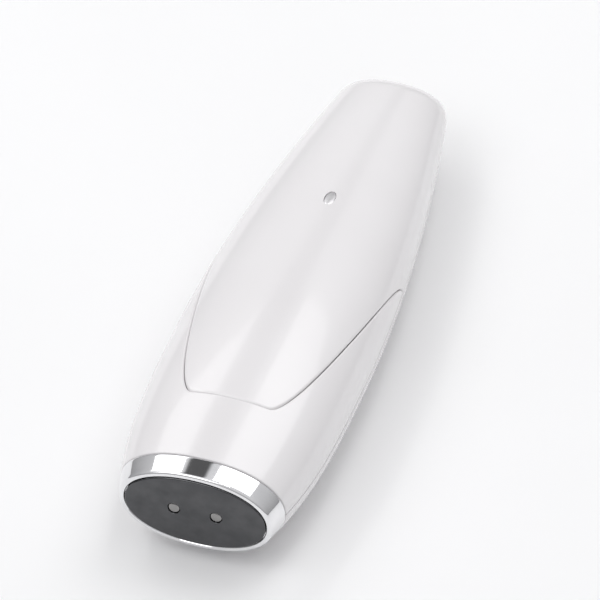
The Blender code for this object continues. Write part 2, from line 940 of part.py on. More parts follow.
def make_button():
    """An oval button whose top follows the neck's surface, with a flange under the shell."""
    top = height_at(button_station, 0) + button_proud
    edge = button_width / 2 + flange_rim
    flange_top = height_at(button_station, edge, shell_wall) - gap
    flange_base = flange_top - flange_thickness
    size = (button_width / 2, button_length / 2)
    start = at_station(button_station, 0, flange_top - overlap)
    button = rod("button_cap", size, top + cut_lead - flange_top, start, "Z", pearl_plastic, fine_steps)
    rings = []
    for station in spread(button_station - button_length, button_station + button_length, 6):
        rings.append([neck_point(station, angle, -button_proud) for angle in FULL_TURN])
    combine(button, loft("button_surface", rings), "INTERSECT")
    flange_size = (edge, button_length / 2 + flange_rim)
    start = at_station(button_station, 0, flange_base)
    flange = rod("button_flange", flange_size, flange_thickness, start, "Z", None, fine_steps)
    combine(button, flange, "UNION")
    stem_base = part_top() + switch_height + plunger_proud + gap
    start = at_station(button_station, 0, stem_base)
    stem = rod("button_stem", plunger_radius, flange_base - stem_base + overlap, start, "Z")
    combine(button, stem, "UNION")
    body_middle = at_station(button_station, 0, part_top() + switch_height / 2)
    switch = block("switch_body", (switch_width, switch_width, switch_height), body_middle, black_plastic)
    start = at_station(button_station, 0, part_top() + switch_floor)
    combine(switch, rod("switch_well", plunger_radius + gap, switch_height, start, "Z"))
    bottom = part_top() + switch_floor + button_travel + gap
    start = at_station(button_station, 0, bottom)
    depth = part_top() + switch_height + plunger_proud - bottom
    rod("switch_plunger", plunger_radius, depth, start, "Z", black_plastic)
    return button


# Ultrasonic drive

def washer(name, radius, bore, thickness, station, colour):
    profile = [(bore, thickness), (radius, thickness), (radius, 0), (bore, 0)]
    return turned(name, profile, at_station(station), colour)


def make_transducer():
    nose = horn_length - horn_nose_length
    bore = bolt_radius + gap
    profile = [(0, horn_length), (horn_nose_radius, horn_length), (horn_nose_radius, nose),
               (horn_radius, nose), (horn_radius, 0), (bore, 0), (bore, bolt_grip + gap),
               (0, bolt_grip + gap)]
    horn = turned("transducer_horn", profile, at_station(horn_start), aluminium)
    slot_start = collar_start - tang_length - 2 * gap
    size = (cut_through, cut_through, blade_thickness + 2 * gap)
    combine(horn, block("tang_slot", size, at_station(slot_start + cut_through / 2)))
    washer("piezo_ring_front", piezo_radius, piezo_bore, piezo_thickness, front_piezo_start, ceramic)
    washer("electrode_ring", piezo_radius, piezo_bore, electrode_ring_thickness,
           electrode_ring_start, copper)
    washer("piezo_ring_back", piezo_radius, piezo_bore, piezo_thickness, back_piezo_start, ceramic)
    washer("back_mass", piezo_radius, bore, back_mass_length, back_mass_start, screw_steel)
    shank = horn_start + bolt_grip - bolt_start
    profile = [(0, shank), (bolt_radius, shank), (bolt_radius, bolt_head_height),
               (bolt_head_radius, bolt_head_height), (bolt_head_radius, 0), (0, 0)]
    turned("stack_bolt", profile, at_station(bolt_start), screw_steel, "Y", round_steps)
    ring_length_here = bulkhead_thickness - gap
    washer("isolation_ring", isolation_ring_radius, horn_nose_radius + gap, ring_length_here,
           neck_end - ring_length_here, grey_silicone)
    return horn


# Head

def make_collar():
    """A chromed collar on the neck's end, with the slot that the blade comes out of."""
    slot = (collar_slot_width / 2, collar_slot_height / 2)
    end = collar_start + collar_length
    rings = []
    for share, inset in ((0, 0), (collar_straight, 0), (collar_turn, collar_turn_inset),
                         (1, collar_end_inset)):
        station = collar_start + share * collar_length
        rings.append([neck_point(station, angle, inset) for angle in FULL_TURN])
    rings += [oval_ring(end, *slot, slot_power), oval_ring(collar_start, *slot, slot_power)]
    return loft("head_collar", rings, chrome, True)


def make_seal():
    """A silicone lip between the collar and the blade."""
    outer = (collar_slot_width / 2 - gap, collar_slot_height / 2 - gap)
    inner = (blade_width / 2 + gap, blade_thickness / 2 + gap)
    start = collar_start + seal_start * collar_length
    end = collar_start + collar_length + seal_lip
    lip = (outer[0] - seal_bevel_width, outer[1] - seal_bevel_height)
    rings = [oval_ring(start, *outer, slot_power), oval_ring(end - seal_lip, *outer, slot_power),
             oval_ring(end, *lip, slot_power), oval_ring(end, *inner, seal_slit_power),
             oval_ring(start, *inner, seal_slit_power)]
    return loft("head_seal", rings, grey_silicone, True)


def make_blade():
    """A stainless spatula with a tang for the horn, shoulders behind the seal and a bevelled edge."""
    tip = length - blade_tip_setback
    shoulder = collar_start + blade_shoulder_setback
    shoulder_end = shoulder + blade_shoulder_length
    outline = [(collar_start - tang_length, tang_width / 2), (shoulder, tang_width / 2),
               (shoulder_end, blade_width / 2 - gap)]
    straight_end = tip - blade_corner
    bend_start = collar_start + collar_length + blade_bend_setback
    for station in spread(bend_start, straight_end, 7):
        share = (station - bend_start) / (tip - bend_start)
        outline.append((station, blade_width / 2 - gap - (blade_width - blade_tip_width) / 2 * share))
    last = outline[-1][1]
    for turn in spread(0, math.pi / 2, 5)[1:]:
        outline.append((straight_end + blade_corner * math.sin(turn),
                        last - blade_corner * (1 - math.cos(turn))))
    rings = []
    for station, across in outline:
        share = max(station - bend_start, 0) / (tip - bend_start)
        rise = blade_rise * share * share
        edge = max(station - straight_end, 0) / blade_corner
        half = (blade_thickness + (blade_edge_thickness - blade_thickness) * edge) / 2
        corners = ((across, half), (-across, half), (-across, -half), (across, -half))
        rings.append([at_station(station, x, rise + z) for x, z in corners])
    return loft("spatula_blade", rings, stainless_steel)


# Back electrode

def electrode_plate(name, grow, thickness, depth, colour=None):
    """A plate with round corners whose upper face lies at thickness and which is depth deep."""
    across = electrode_width / 2 + grow
    along = electrode_length / 2 + grow
    corner = electrode_corner + grow
    outline = []
    for x_side, y_side, start in ((1, 1, 0), (-1, 1, 1), (-1, -1, 2), (1, -1, 3)):
        for turn in spread(start * math.pi / 2, (start + 1) * math.pi / 2, 5):
            outline.append((x_side * (across - corner) + corner * math.cos(turn),
                            y_side * (along - corner) + corner * math.sin(turn)))
    middle = electrode_start + electrode_length / 2 - length / 2
    heights = (thickness - depth, thickness)
    rings = [[Vector((x, middle + y, height)) for x, y in outline] for height in heights]
    return loft(name, rings, colour)


def make_back_electrode():
    plate = electrode_plate("back_electrode", 0.0, electrode_thickness, electrode_thickness,
                            stainless_steel)
    start = at_station(contact_pin_station())
    start.z = electrode_thickness + gap
    depth = axis_height + board_rise() - gap - start.z
    rod("electrode_contact_pin", contact_pin_radius, depth, start, "Z", brass)
    return plate


def build():
    make_cap()
    make_front_shell()
    make_back_shell()
    make_neck_ring()
    make_base_ring()
    make_base_disc()
    make_base_seal()
    make_charging()
    make_neck_screws()
    make_chassis()
    make_board()
    make_board_parts()
    make_battery()
    make_leads()
    make_button()
    make_transducer()
    make_collar()
    make_seal()
    make_blade()
    make_back_electrode()


build()
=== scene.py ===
import json
import math

import bmesh
import bpy
import numpy as np
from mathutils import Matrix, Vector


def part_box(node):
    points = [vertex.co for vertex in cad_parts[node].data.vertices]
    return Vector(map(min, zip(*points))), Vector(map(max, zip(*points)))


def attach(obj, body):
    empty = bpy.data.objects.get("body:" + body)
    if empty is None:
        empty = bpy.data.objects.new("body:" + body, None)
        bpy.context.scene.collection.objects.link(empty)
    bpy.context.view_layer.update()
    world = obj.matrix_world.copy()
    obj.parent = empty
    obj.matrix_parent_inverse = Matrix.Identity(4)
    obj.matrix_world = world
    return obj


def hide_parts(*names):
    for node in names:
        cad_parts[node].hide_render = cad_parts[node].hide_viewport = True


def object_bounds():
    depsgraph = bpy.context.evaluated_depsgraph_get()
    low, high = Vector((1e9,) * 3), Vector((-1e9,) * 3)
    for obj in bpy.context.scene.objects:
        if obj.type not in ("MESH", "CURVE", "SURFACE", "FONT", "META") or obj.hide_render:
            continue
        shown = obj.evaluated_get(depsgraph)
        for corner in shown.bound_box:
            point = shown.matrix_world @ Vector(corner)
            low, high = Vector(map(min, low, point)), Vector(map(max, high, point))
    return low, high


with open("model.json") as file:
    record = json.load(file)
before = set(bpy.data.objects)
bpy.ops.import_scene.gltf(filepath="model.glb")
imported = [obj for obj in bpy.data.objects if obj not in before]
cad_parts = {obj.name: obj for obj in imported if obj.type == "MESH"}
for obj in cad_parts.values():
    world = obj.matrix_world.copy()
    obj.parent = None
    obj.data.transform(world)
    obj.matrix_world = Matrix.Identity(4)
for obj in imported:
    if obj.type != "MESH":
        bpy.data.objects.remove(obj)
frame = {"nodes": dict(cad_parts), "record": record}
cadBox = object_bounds()
nodes = frame["nodes"]
print("frame loaded:", len(nodes), "nodes")


# shape of the body: stations run along +Y from the base end face, angles turn round the axis
body = {
    "maxWidth": 0.0468, "maxThickness": 0.0288,
    "baseWidth": 0.0360, "baseThickness": 0.0216,
    "tipWidth": 0.0244, "tipThickness": 0.0144,
    "widest": 0.056,
    "baseWidthPower": 3.4, "baseThicknessPower": 2.6,
    "tipWidthPower": 1.8, "tipThicknessPower": 1.7,
    "sectionPower": 2.15,
    "cornerDepth": 0.0065, "cornerWidth": 0.0040, "cornerThickness": 0.0060,
}
walls = {
    "gap": 0.0003, "shell": 0.0019, "cap": 0.0018, "capClearance": 0.0003,
    "panelDrop": 0.0005, "ramp": 0.006, "neckLength": 0.018,
    "tongueAngle": math.radians(68), "tongueCurve": 1.2,
    "seam": 0.00006, "shellSeam": 0.00002,  # the cap's and the casing's share of the line between them
    "ringLength": 0.0057, "discProud": 0.00025,
}
lowEnd = cadBox[0].y
length = cadBox[1].y - lowEnd
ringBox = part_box("base_ring")
axisHeight = (ringBox[0].z + ringBox[1].z) / 2
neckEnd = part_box("front_shell")[1].y - lowEnd
sideStation = neckEnd - walls["neckLength"]
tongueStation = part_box("cap_shell")[0].y - lowEnd
neckStep = walls["cap"] + walls["capClearance"]
fullTurn = np.linspace(-math.pi / 2, 1.5 * math.pi, 241)[:-1]


def halfSize(station, base, widest, tip, basePower, tipPower):
    # half the widest size, less a power of the share of the way down or up
    down = np.clip((body["widest"] - station) / body["widest"], 0, None)
    up = np.clip((station - body["widest"]) / (length - body["widest"]), 0, 1)
    return widest - (widest - base) * down**basePower - (widest - tip) * up**tipPower


def halfWidth(station):
    # half the body's width at a station, by the formula above
    return halfSize(station, body["baseWidth"] / 2, body["maxWidth"] / 2, body["tipWidth"] / 2,
                    body["baseWidthPower"], body["tipWidthPower"])


def halfThickness(station):
    # half the body's thickness at a station, by the formula above
    return halfSize(station, body["baseThickness"] / 2, body["maxThickness"] / 2,
                    body["tipThickness"] / 2, body["baseThicknessPower"], body["tipThicknessPower"])


def oval(station, angle, across, up, power=body["sectionPower"]):
    # superellipse square to the axis: |x / across|^power + |z / up|^power = 1
    cosine, sine = np.cos(angle), np.sin(angle)
    x = across * np.sign(cosine) * np.abs(cosine) ** (2 / power)
    z = up * np.sign(sine) * np.abs(sine) ** (2 / power)
    x, y, z = np.broadcast_arrays(x, station + lowEnd, z + axisHeight)
    return np.stack([x, y, z], -1)


def bodyPoints(station, angle, inset=0.0):
    # the body's section, less the tip's quarter-round corner, less an inset
    along = np.clip((station - (length - inset) + body["cornerDepth"]) / body["cornerDepth"], 0, 1)
    corner = 1 - np.sqrt(1 - along * along)
    across = halfWidth(station) - inset - body["cornerWidth"] * corner
    up = halfThickness(station) - inset - body["cornerThickness"] * corner
    return oval(station, angle, across, up)


def rimStation(angle):
    # the cap's rim: straight round the back, and a smooth step down to the tongue on the front
    lean = np.minimum(np.abs(angle), np.abs(math.pi - angle))
    share = np.clip(lean / walls["tongueAngle"], 0, 1) ** walls["tongueCurve"]
    front = sideStation - (sideStation - tongueStation) * share * share * (3 - 2 * share)
    return np.where(np.sin(angle) > 0, front, sideStation)


def neckHalfHeight(station, angle):
    # flat under the tongue, so that it slides off, and following the body elsewhere
    back = halfThickness(station) - neckStep
    limit = np.minimum(halfThickness(station), halfThickness(tongueStation))
    return np.where(np.sin(angle) > 0, limit - neckStep - walls["panelDrop"], back)


def neckPoints(station, angle, inset=0.0):
    # the neck's section: the body's, less the cap's wall and clearance and an inset
    across = halfWidth(station) - neckStep - inset
    return oval(station, angle, across, neckHalfHeight(station, angle) - inset)


def neckHeight(station, across, inset=0.0):
    # height above the axis of the neck's front surface at a distance across
    up = neckHalfHeight(station, math.pi / 2) - inset
    share = np.clip(np.abs(across) / (halfWidth(station) - neckStep - inset), 0, 1)
    return up * (1 - share ** body["sectionPower"]) ** (1 / body["sectionPower"])


def insidePoints(station, angle):
    # the handle's inside wall, which moves in ahead of the cap's rim
    ramp = np.clip((station - rimStation(angle) + walls["ramp"]) / walls["ramp"], 0, 1)[..., None]
    outer = bodyPoints(station, angle, walls["shell"])
    return outer * (1 - ramp) + neckPoints(station, angle, walls["shell"]) * ramp


def rimStretch(angle):
    # how much longer a length square to the rim is when it is measured along the axis
    rim = rimStation(angle)
    edge = bodyPoints(rim, angle)
    steps = np.linalg.norm(np.diff(edge[..., [0, 2]], axis=-2), axis=-1)
    slope = np.gradient(rim, np.concatenate([[0], np.cumsum(steps)]))
    return np.sqrt(1 + slope * slope)


# mesh making: lengths that merge points, and a small turn that keeps a cutter's points off the seams
making = {"weld": 1e-7, "sliver": 1e-6, "cutTurn": 0.021, "sharpAngle": 32}


def gridFaces(rows, columns, start, wrapRows):
    # four corners of each cell of a grid whose last column joins its first, as one array
    down = np.arange(rows if wrapRows else rows - 1)[:, None]
    across = np.arange(columns)[None, :]
    nextDown, nextAcross = (down + 1) % rows, (across + 1) % columns
    corners = [down * columns + across, down * columns + nextAcross,
               nextDown * columns + nextAcross, nextDown * columns + across]
    spread = [np.broadcast_to(corner, (len(down), columns)) for corner in corners]
    return np.stack(spread, -1).reshape(-1, 4) + start


def around(steps, start=0.0):
    # even angles once round a circle
    return np.linspace(0, 2 * math.pi, steps + 1)[:-1] + start


def quarter(steps):
    # even angles over a quarter circle
    return np.linspace(0, math.pi / 2, steps)


def boxRadius(box):
    # half the width of a node's box, which is the radius of a round piece
    return (box[1].x - box[0].x) / 2


def boxMiddle(box):
    # half the sum of a box's two corners
    return tuple((box[0][at] + box[1][at]) / 2 for at in range(3))


def fanFaces(ring, centre):
    # one triangle from each step of a ring to a centre
    return [[int(a), int(b), centre] for a, b in zip(ring, np.roll(ring, -1))]


def meshFrom(name, grids):
    # each grid is (points, ends): its end rows close in a fan to a middle point, close in a
    # strip from side to side, or join each other in a ring
    points, faces, start = [], [], 0
    for grid, ends in grids:
        rows, columns = grid.shape[:2]
        points.append(grid.reshape(-1, 3))
        faces += gridFaces(rows, columns, start, ends == "ring").tolist()
        last = start + (rows - 1) * columns
        if ends == "fan":
            centres = np.stack([grid[0].mean(0), grid[-1].mean(0)])
            points.append(centres)
            faces += fanFaces(np.arange(start, start + columns), start + rows * columns)
            faces += fanFaces(np.arange(last, last + columns)[::-1], start + rows * columns + 1)
            start += 2
        if ends == "strip":
            half = columns // 2
            at = np.arange(half - 1)
            for first, turn in ((start, 1), (last, -1)):
                strip = np.stack([at, at + 1, columns - 2 - at, columns - 1 - at], -1)
                faces += (strip[:, ::turn] + first).tolist()
        start += rows * columns
    mesh = bpy.data.meshes.new(name)
    mesh.from_pydata(np.concatenate(points).tolist(), [], faces)
    tidy = bmesh.new()
    tidy.from_mesh(mesh)
    bmesh.ops.remove_doubles(tidy, verts=tidy.verts, dist=making["weld"])
    bmesh.ops.recalc_face_normals(tidy, faces=tidy.faces)
    tidy.to_mesh(mesh)
    tidy.free()
    return mesh


def makePiece(name, grids, finish, rides, stands=(), sharp=making["sharpAngle"]):
    # a named object that rides on a body and stands for CAD nodes
    mesh = meshFrom(name, grids)
    piece = bpy.data.objects.new(name, mesh)
    bpy.context.scene.collection.objects.link(piece)
    finishPiece(piece, finish, sharp)
    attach(piece, rides)
    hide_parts(*stands)
    return piece


def finishPiece(piece, finish, sharp=making["sharpAngle"]):
    # one material, smooth shading and edges kept sharp past an angle in degrees
    piece.data.materials.clear()
    piece.data.materials.append(finish.material)
    piece.data.shade_smooth()
    piece.data.set_sharp_from_angle(angle=math.radians(sharp))


def cutAway(piece, cutters, finish):
    # cuts closed grids out of a piece for good
    for at, grids in enumerate(cutters):
        cutter = bpy.data.objects.new(f"cutter{at}", meshFrom(f"cutter{at}", grids))
        bpy.context.scene.collection.objects.link(cutter)
        change = piece.modifiers.new("cut", "BOOLEAN")
        change.operation = "DIFFERENCE"
        change.object = cutter
        bpy.context.view_layer.update()
        evaluated = piece.evaluated_get(bpy.context.evaluated_depsgraph_get())
        made = bpy.data.meshes.new_from_object(evaluated)
        piece.modifiers.clear()
        piece.data = made
        bpy.data.objects.remove(cutter)
    # slivers that a cut leaves are closed up
    work = bmesh.new()
    work.from_mesh(piece.data)
    bmesh.ops.dissolve_degenerate(work, dist=making["sliver"], edges=work.edges)
    bmesh.ops.triangulate(work, faces=[face for face in work.faces if len(face.verts) > 4])
    work.to_mesh(piece.data)
    work.free()
    piece.data.name = piece.name
    finishPiece(piece, finish)
    return piece


def turnedGrid(profile, start, direction="Y", steps=48):
    # a profile of (radius, height) turned round an axis through start
    radius, height = np.array(profile, float).T
    turn = around(steps)
    x = radius[:, None] * np.cos(turn)
    z = radius[:, None] * np.sin(turn)
    y = np.broadcast_to(height[:, None], x.shape)
    grid = np.stack([x, y, z] if direction == "Y" else [x, z, y], -1)
    return grid + np.asarray(start)


# shader maths

class Link:
    # one output of a node: arithmetic on it adds Math nodes
    def __init__(self, graph, socket):
        self.graph = graph
        self.socket = socket

    def maths(self, operation, first, second):
        return self.graph.node("ShaderNodeMath", {"operation": operation}, {0: first, 1: second})

    def __add__(self, other):
        return self.maths("ADD", self, other)

    def __radd__(self, other):
        return self.maths("ADD", other, self)

    def __sub__(self, other):
        return self.maths("SUBTRACT", self, other)

    def __rsub__(self, other):
        return self.maths("SUBTRACT", other, self)

    def __mul__(self, other):
        return self.maths("MULTIPLY", self, other)

    def __rmul__(self, other):
        return self.maths("MULTIPLY", other, self)

    def __truediv__(self, other):
        return self.maths("DIVIDE", self, other)

    def __rtruediv__(self, other):
        return self.maths("DIVIDE", other, self)


class Graph:
    # a node tree that nodes are added to by type, settings and inputs
    def __init__(self, tree):
        self.tree = tree

    def node(self, kind, settings=None, inputs=None, output=0):
        made = self.tree.nodes.new(kind)
        for key, value in (settings or {}).items():
            if key == "stops":
                self.setStops(made.color_ramp, value)
            else:
                setattr(made, key, value)
        for key, value in (inputs or {}).items():
            self.feed(made.inputs[key], value)
        return Link(self, made.outputs[output])

    def setStops(self, ramp, stops):
        for at, (position, colour) in enumerate(stops):
            stop = ramp.elements[at] if at < len(ramp.elements) else ramp.elements.new(position)
            stop.position = position
            stop.color = (*colour, 1)

    def feed(self, socket, value):
        if isinstance(value, Link):
            self.tree.links.new(value.socket, socket)
        else:
            opaque = socket.type == "RGBA" and len(value) == 3
            socket.default_value = (*value, 1.0) if opaque else value


class Finish(Graph):
    # a Principled material on Object coordinates
    def __init__(self, name, slot, roughness=0.4, metallic=0.0, **constants):
        self.material = bpy.data.materials.new(name)
        self.material.use_nodes = True
        super().__init__(self.material.node_tree)
        self.shader = self.tree.nodes["Principled BSDF"]
        self.slot = slot
        self.place = self.node("ShaderNodeTexCoord", output="Object")
        self.set(Roughness=roughness, Metallic=metallic)
        for key, value in constants.items():
            self.shader.inputs[key.replace("_", " ")].default_value = value

    def set(self, **inputs):
        for key, value in inputs.items():
            self.feed(self.shader.inputs[key.replace("_", " ")], value)
        return self

    def scaled(self, x=1.0, y=1.0, z=1.0):
        return self.node("ShaderNodeMapping", None, {"Vector": self.place, "Scale": (x, y, z)})

    def noise(self, scale, detail=3.0, place=None, roughness=0.5):
        return self.node("ShaderNodeTexNoise", None, {
            "Vector": place or self.place, "Scale": scale, "Detail": detail, "Roughness": roughness})

    def ramp(self, factor, *stops):
        return self.node("ShaderNodeValToRGB", {"stops": stops}, {"Fac": factor})

    def between(self, factor, low, high):
        # a value that runs from low to high as the factor goes from 0 to 1
        return self.node("ShaderNodeMapRange", None, {"Value": factor, "To Min": low, "To Max": high})

    def blend(self, factor, first, second):
        # two colours mixed
        made = self.tree.nodes.new("ShaderNodeMix")
        made.data_type = "RGBA"
        self.feed(made.inputs[0], factor)
        self.feed(made.inputs[6], first)
        self.feed(made.inputs[7], second)
        return Link(self, made.outputs[2])

    def bump(self, height, strength=0.2, distance=0.0001):
        return self.node("ShaderNodeBump", None, {
            "Height": height, "Strength": strength, "Distance": distance}, "Normal")


def pearlFinish():
    # gloss plastic with a pearl layer under a clear skin
    made = Finish("pearlPlastic", "pearl_plastic", Coat_Weight=0.7, Coat_Roughness=0.07, Coat_IOR=1.5,
                  Specular_IOR_Level=0.55)
    flow = made.noise(28, 2.0)
    tone = made.ramp(flow, (0.3, (0.80, 0.782, 0.79)), (0.7, (0.83, 0.814, 0.822)))
    made.set(Base_Color=tone)
    made.set(Roughness=made.between(made.noise(260, 2.0), 0.2, 0.26))
    made.set(Normal=made.bump(made.noise(90, 1.0), 0.02, 0.00001))
    return made


def chromeFinish():
    # polished plate with faint smears
    made = Finish("chromePlate", "chrome", 0.05, 1.0)
    smear = made.noise(180, 4.0)
    made.set(Base_Color=made.ramp(smear, (0.3, (0.80, 0.80, 0.815)), (0.7, (0.88, 0.88, 0.89))))
    made.set(Roughness=made.between(smear, 0.03, 0.085))
    made.set(Normal=made.bump(made.noise(1400, 1.0), 0.02, 0.00002))
    return made


def inlayFinish():
    # satin plated inlay, paler than the polished band
    made = Finish("satinInlay", "chrome", 0.34, 0.85)
    made.set(Base_Color=made.ramp(made.noise(300, 3.0), (0.3, (0.80, 0.79, 0.80)), (0.7, (0.88, 0.87, 0.88))))
    made.set(Roughness=made.between(made.noise(2500, 3.0), 0.3, 0.42))
    made.set(Normal=made.bump(made.noise(2500, 3.0), 0.05, 0.00002))
    return made


def smokedMirrorFinish():
    # dark mirror plate with fine wiping marks and a little dust
    made = Finish("smokedMirror", "smoked_mirror", 0.05, 1.0)
    scratch = made.noise(60, 6.0, made.scaled(1.0, 1.0, 26.0), 0.7)
    dust = made.noise(240, 3.0)
    made.set(Base_Color=made.ramp(dust, (0.3, (0.085, 0.086, 0.09)), (0.75, (0.115, 0.116, 0.12))))
    made.set(Roughness=made.between(scratch * dust, 0.02, 0.16))
    made.set(Normal=made.bump(scratch, 0.015, 0.00002))
    return made


def satinSteelFinish(name="satinSteel", slot="stainless_steel", tone=0.62, along="x"):
    # brushed lines: noise stretched a hundredfold along the brushing
    made = Finish(name, slot, 0.26, 1.0)
    place = made.scaled(0.012, 1, 1) if along == "x" else made.scaled(1, 0.012, 1)
    line = made.noise(5200, 5.0, place, 0.65)
    cloud = made.noise(70, 3.0)
    shade = line * 0.3 + cloud * 0.7
    made.set(Base_Color=made.ramp(shade, (0.3, (tone * 0.94, tone * 0.94, tone * 0.95)),
                                  (0.7, (tone * 1.05, tone * 1.05, tone * 1.06))))
    made.set(Roughness=made.between(line, 0.24, 0.33))
    made.set(Normal=made.bump(line, 0.05, 0.00002))
    return made


def machinedFinish(name, slot, colour, roughness=0.34):
    # turned metal: fine rings along the turning axis
    made = Finish(name, slot, roughness, 1.0)
    ring = made.noise(3800, 3.0, made.scaled(0.04, 1, 0.04))
    low = tuple(c * 0.82 for c in colour)
    made.set(Base_Color=made.ramp(ring, (0.3, low), (0.7, colour)))
    made.set(Roughness=made.between(made.noise(400, 3.0), roughness * 0.8, roughness * 1.25))
    made.set(Normal=made.bump(ring, 0.1, 0.00003))
    return made


def mouldedFinish(name, slot, colour, roughness=0.5, grain=1500, depth=0.12):
    # moulded plastic or rubber: fine spark grain and a slow change of tone
    made = Finish(name, slot, roughness)
    tone = made.noise(55, 3.0)
    low = tuple(c * 0.88 for c in colour)
    high = tuple(min(c * 1.08 + 0.004, 1) for c in colour)
    texture = made.noise(grain, 3.0)
    made.set(Base_Color=made.ramp(tone, (0.3, low), (0.72, high)))
    made.set(Roughness=made.between(texture, roughness * 0.86, min(roughness * 1.16, 1.0)))
    made.set(Normal=made.bump(texture, depth, 0.00004))
    return made


def boardFinish():
    # green solder mask over copper tracks that show as a slightly lighter grid
    made = Finish("circuitBoard", "circuit_board", 0.32)
    cell = made.node("ShaderNodeTexBrick", {"offset": 0.37, "squash": 0.6}, {
        "Vector": made.place, "Scale": 240, "Mortar Size": 0.09, "Color1": (0.010, 0.10, 0.045, 1),
        "Color2": (0.012, 0.13, 0.055, 1), "Mortar": (0.03, 0.22, 0.10, 1)})
    made.set(Base_Color=made.blend(made.between(made.noise(90, 3.0), 0, 0.5), cell, (0.008, 0.09, 0.04)))
    made.set(Roughness=made.between(made.noise(600, 3.0), 0.25, 0.42))
    made.set(Normal=made.bump(made.noise(300, 2.0), 0.05, 0.00004))
    return made


def clearFinish():
    # tinted clear plastic, half see-through
    made = Finish("clearPlastic", "clear_plastic", 0.08, Transmission_Weight=0.4, IOR=1.49)
    made.set(Base_Color=made.ramp(made.noise(200, 2.0), (0.3, (0.50, 0.55, 0.60)), (0.7, (0.58, 0.63, 0.68))))
    made.set(Roughness=made.between(made.noise(800, 2.0), 0.12, 0.28))
    return made


def foilFinish():
    # aluminium pouch, creased all over, with painted shade darkening the crease hollows
    made = Finish("batteryFoil", "battery_foil", 0.42, 0.75)
    creaseAndShade = made.noise(130, 6.0, None, 0.6)
    # painted shade: the colour is darker where the crease bump is low, in the creases' hollows
    made.set(Base_Color=made.ramp(creaseAndShade, (0.3, (0.50, 0.51, 0.53)), (0.7, (0.68, 0.69, 0.71))))
    made.set(Roughness=made.between(creaseAndShade, 0.3, 0.55))
    made.set(Normal=made.bump(creaseAndShade, 0.35, 0.0001))
    return made


pearl = pearlFinish()
chrome = chromeFinish()
satinInlay = inlayFinish()
smokedMirror = smokedMirrorFinish()
satinSteel = satinSteelFinish()
bladeSteel = satinSteelFinish("bladeSteel", "stainless_steel", 0.66, "y")
contactMetal = machinedFinish("contactMetal", "contact_metal", (0.34, 0.335, 0.33), 0.24)
screwSteel = machinedFinish("screwSteel", "screw_steel", (0.50, 0.50, 0.51))
aluminium = machinedFinish("machinedAluminium", "aluminium", (0.78, 0.78, 0.80))
copper = machinedFinish("bareCopper", "copper", (0.80, 0.42, 0.28))
brass = machinedFinish("contactBrass", "brass", (0.80, 0.62, 0.32), 0.25)
ceramic = mouldedFinish("piezoCeramic", "ceramic", (0.60, 0.56, 0.47), 0.62, 2400)
blackPlastic = mouldedFinish("blackPlastic", "black_plastic", (0.022, 0.022, 0.024), 0.45)
silicone = mouldedFinish("greySilicone", "grey_silicone", (0.50, 0.50, 0.51), 0.58, 2600, 0.06)
blackRubber = mouldedFinish("blackRubber", "black_rubber", (0.025, 0.025, 0.026), 0.7)
foam = mouldedFinish("foamPad", "foam", (0.09, 0.09, 0.10), 0.92, 900, 0.6)
redWire = mouldedFinish("redInsulation", "red_wire", (0.55, 0.025, 0.02), 0.42, 900, 0.05)
blackWire = mouldedFinish("blackInsulation", "black_wire", (0.018, 0.018, 0.02), 0.42, 900, 0.05)
board = boardFinish()
clear = clearFinish()
foil = foilFinish()
slotFinishes = {made.slot: made for made in (
    pearl, chrome, smokedMirror, satinSteel, contactMetal, screwSteel, aluminium, copper, brass,
    ceramic, blackPlastic, silicone, blackRubber, foam, redWire, blackWire, board, clear, foil)}
for part in frame["record"]["subparts"]:
    finishPiece(nodes[part["node"]], slotFinishes[part["material_slot"]], 35)
print("finishes made:", len(slotFinishes))


# cap

capSizes = {"edgeRound": 0.00075, "innerRound": 0.0003, "rows": 120, "badgeFromTip": 0.053,
            "badgeLength": 0.0048, "badgeWidth": 0.0024, "badgeDepth": 0.0008, "badgeGap": 0.00012,
            "badgeInset": 0.00014, "badgeDome": 0.00016, "badgeEdge": 0.00006}


def capRows(inset, edge, rows, cornerRows, faceRows):
    # rows from the rim to the middle of the end face, for the outside or the inside
    angle = fullTurn[None, :]
    rim = rimStation(fullTurn) + edge * rimStretch(fullTurn)
    blendEnd = length - inset - body["cornerDepth"]
    share = np.linspace(0, 1, rows)[:, None] ** 1.15  # closer rows near the rim
    lower = bodyPoints(rim + (blendEnd - rim) * share, angle, inset)
    turn = quarter(cornerRows)[1:, None]
    corner = bodyPoints(blendEnd + body["cornerDepth"] * np.sin(turn), angle, inset)
    centre = corner[-1].mean(0)
    shrink = np.linspace(1, 0.08, faceRows)[1:, None, None]
    return np.concatenate([lower, corner, centre + (corner[-1] - centre) * shrink])


def rimRows():
    # round edges and the flat between them, from the outside to the inside
    outer, inner, wall = capSizes["edgeRound"], capSizes["innerRound"], walls["cap"]
    turn = quarter(7)[1:]
    steps = [(outer * (1 - math.sin(t)), outer * (1 - math.cos(t))) for t in turn]
    steps += [(inner * (1 - math.sin(t)), wall - inner * (1 - math.cos(t))) for t in turn[::-1]]
    rim, stretch = rimStation(fullTurn), rimStretch(fullTurn)
    return np.stack([bodyPoints(rim + along * stretch, fullTurn, inset) for along, inset in steps])


def badgeWell(station, halfAcross, halfAlong, low, high):
    # a closed oval cutter, from a height under the surface to one above it
    turn = around(64, making["cutTurn"])
    x, y = halfAcross * np.cos(turn), station + lowEnd + halfAlong * np.sin(turn)
    rows = [np.stack([x, y, np.broadcast_to(height, x.shape)], -1) for height in (low, high, high + 0.001)]
    return [(np.stack(rows), "fan")]


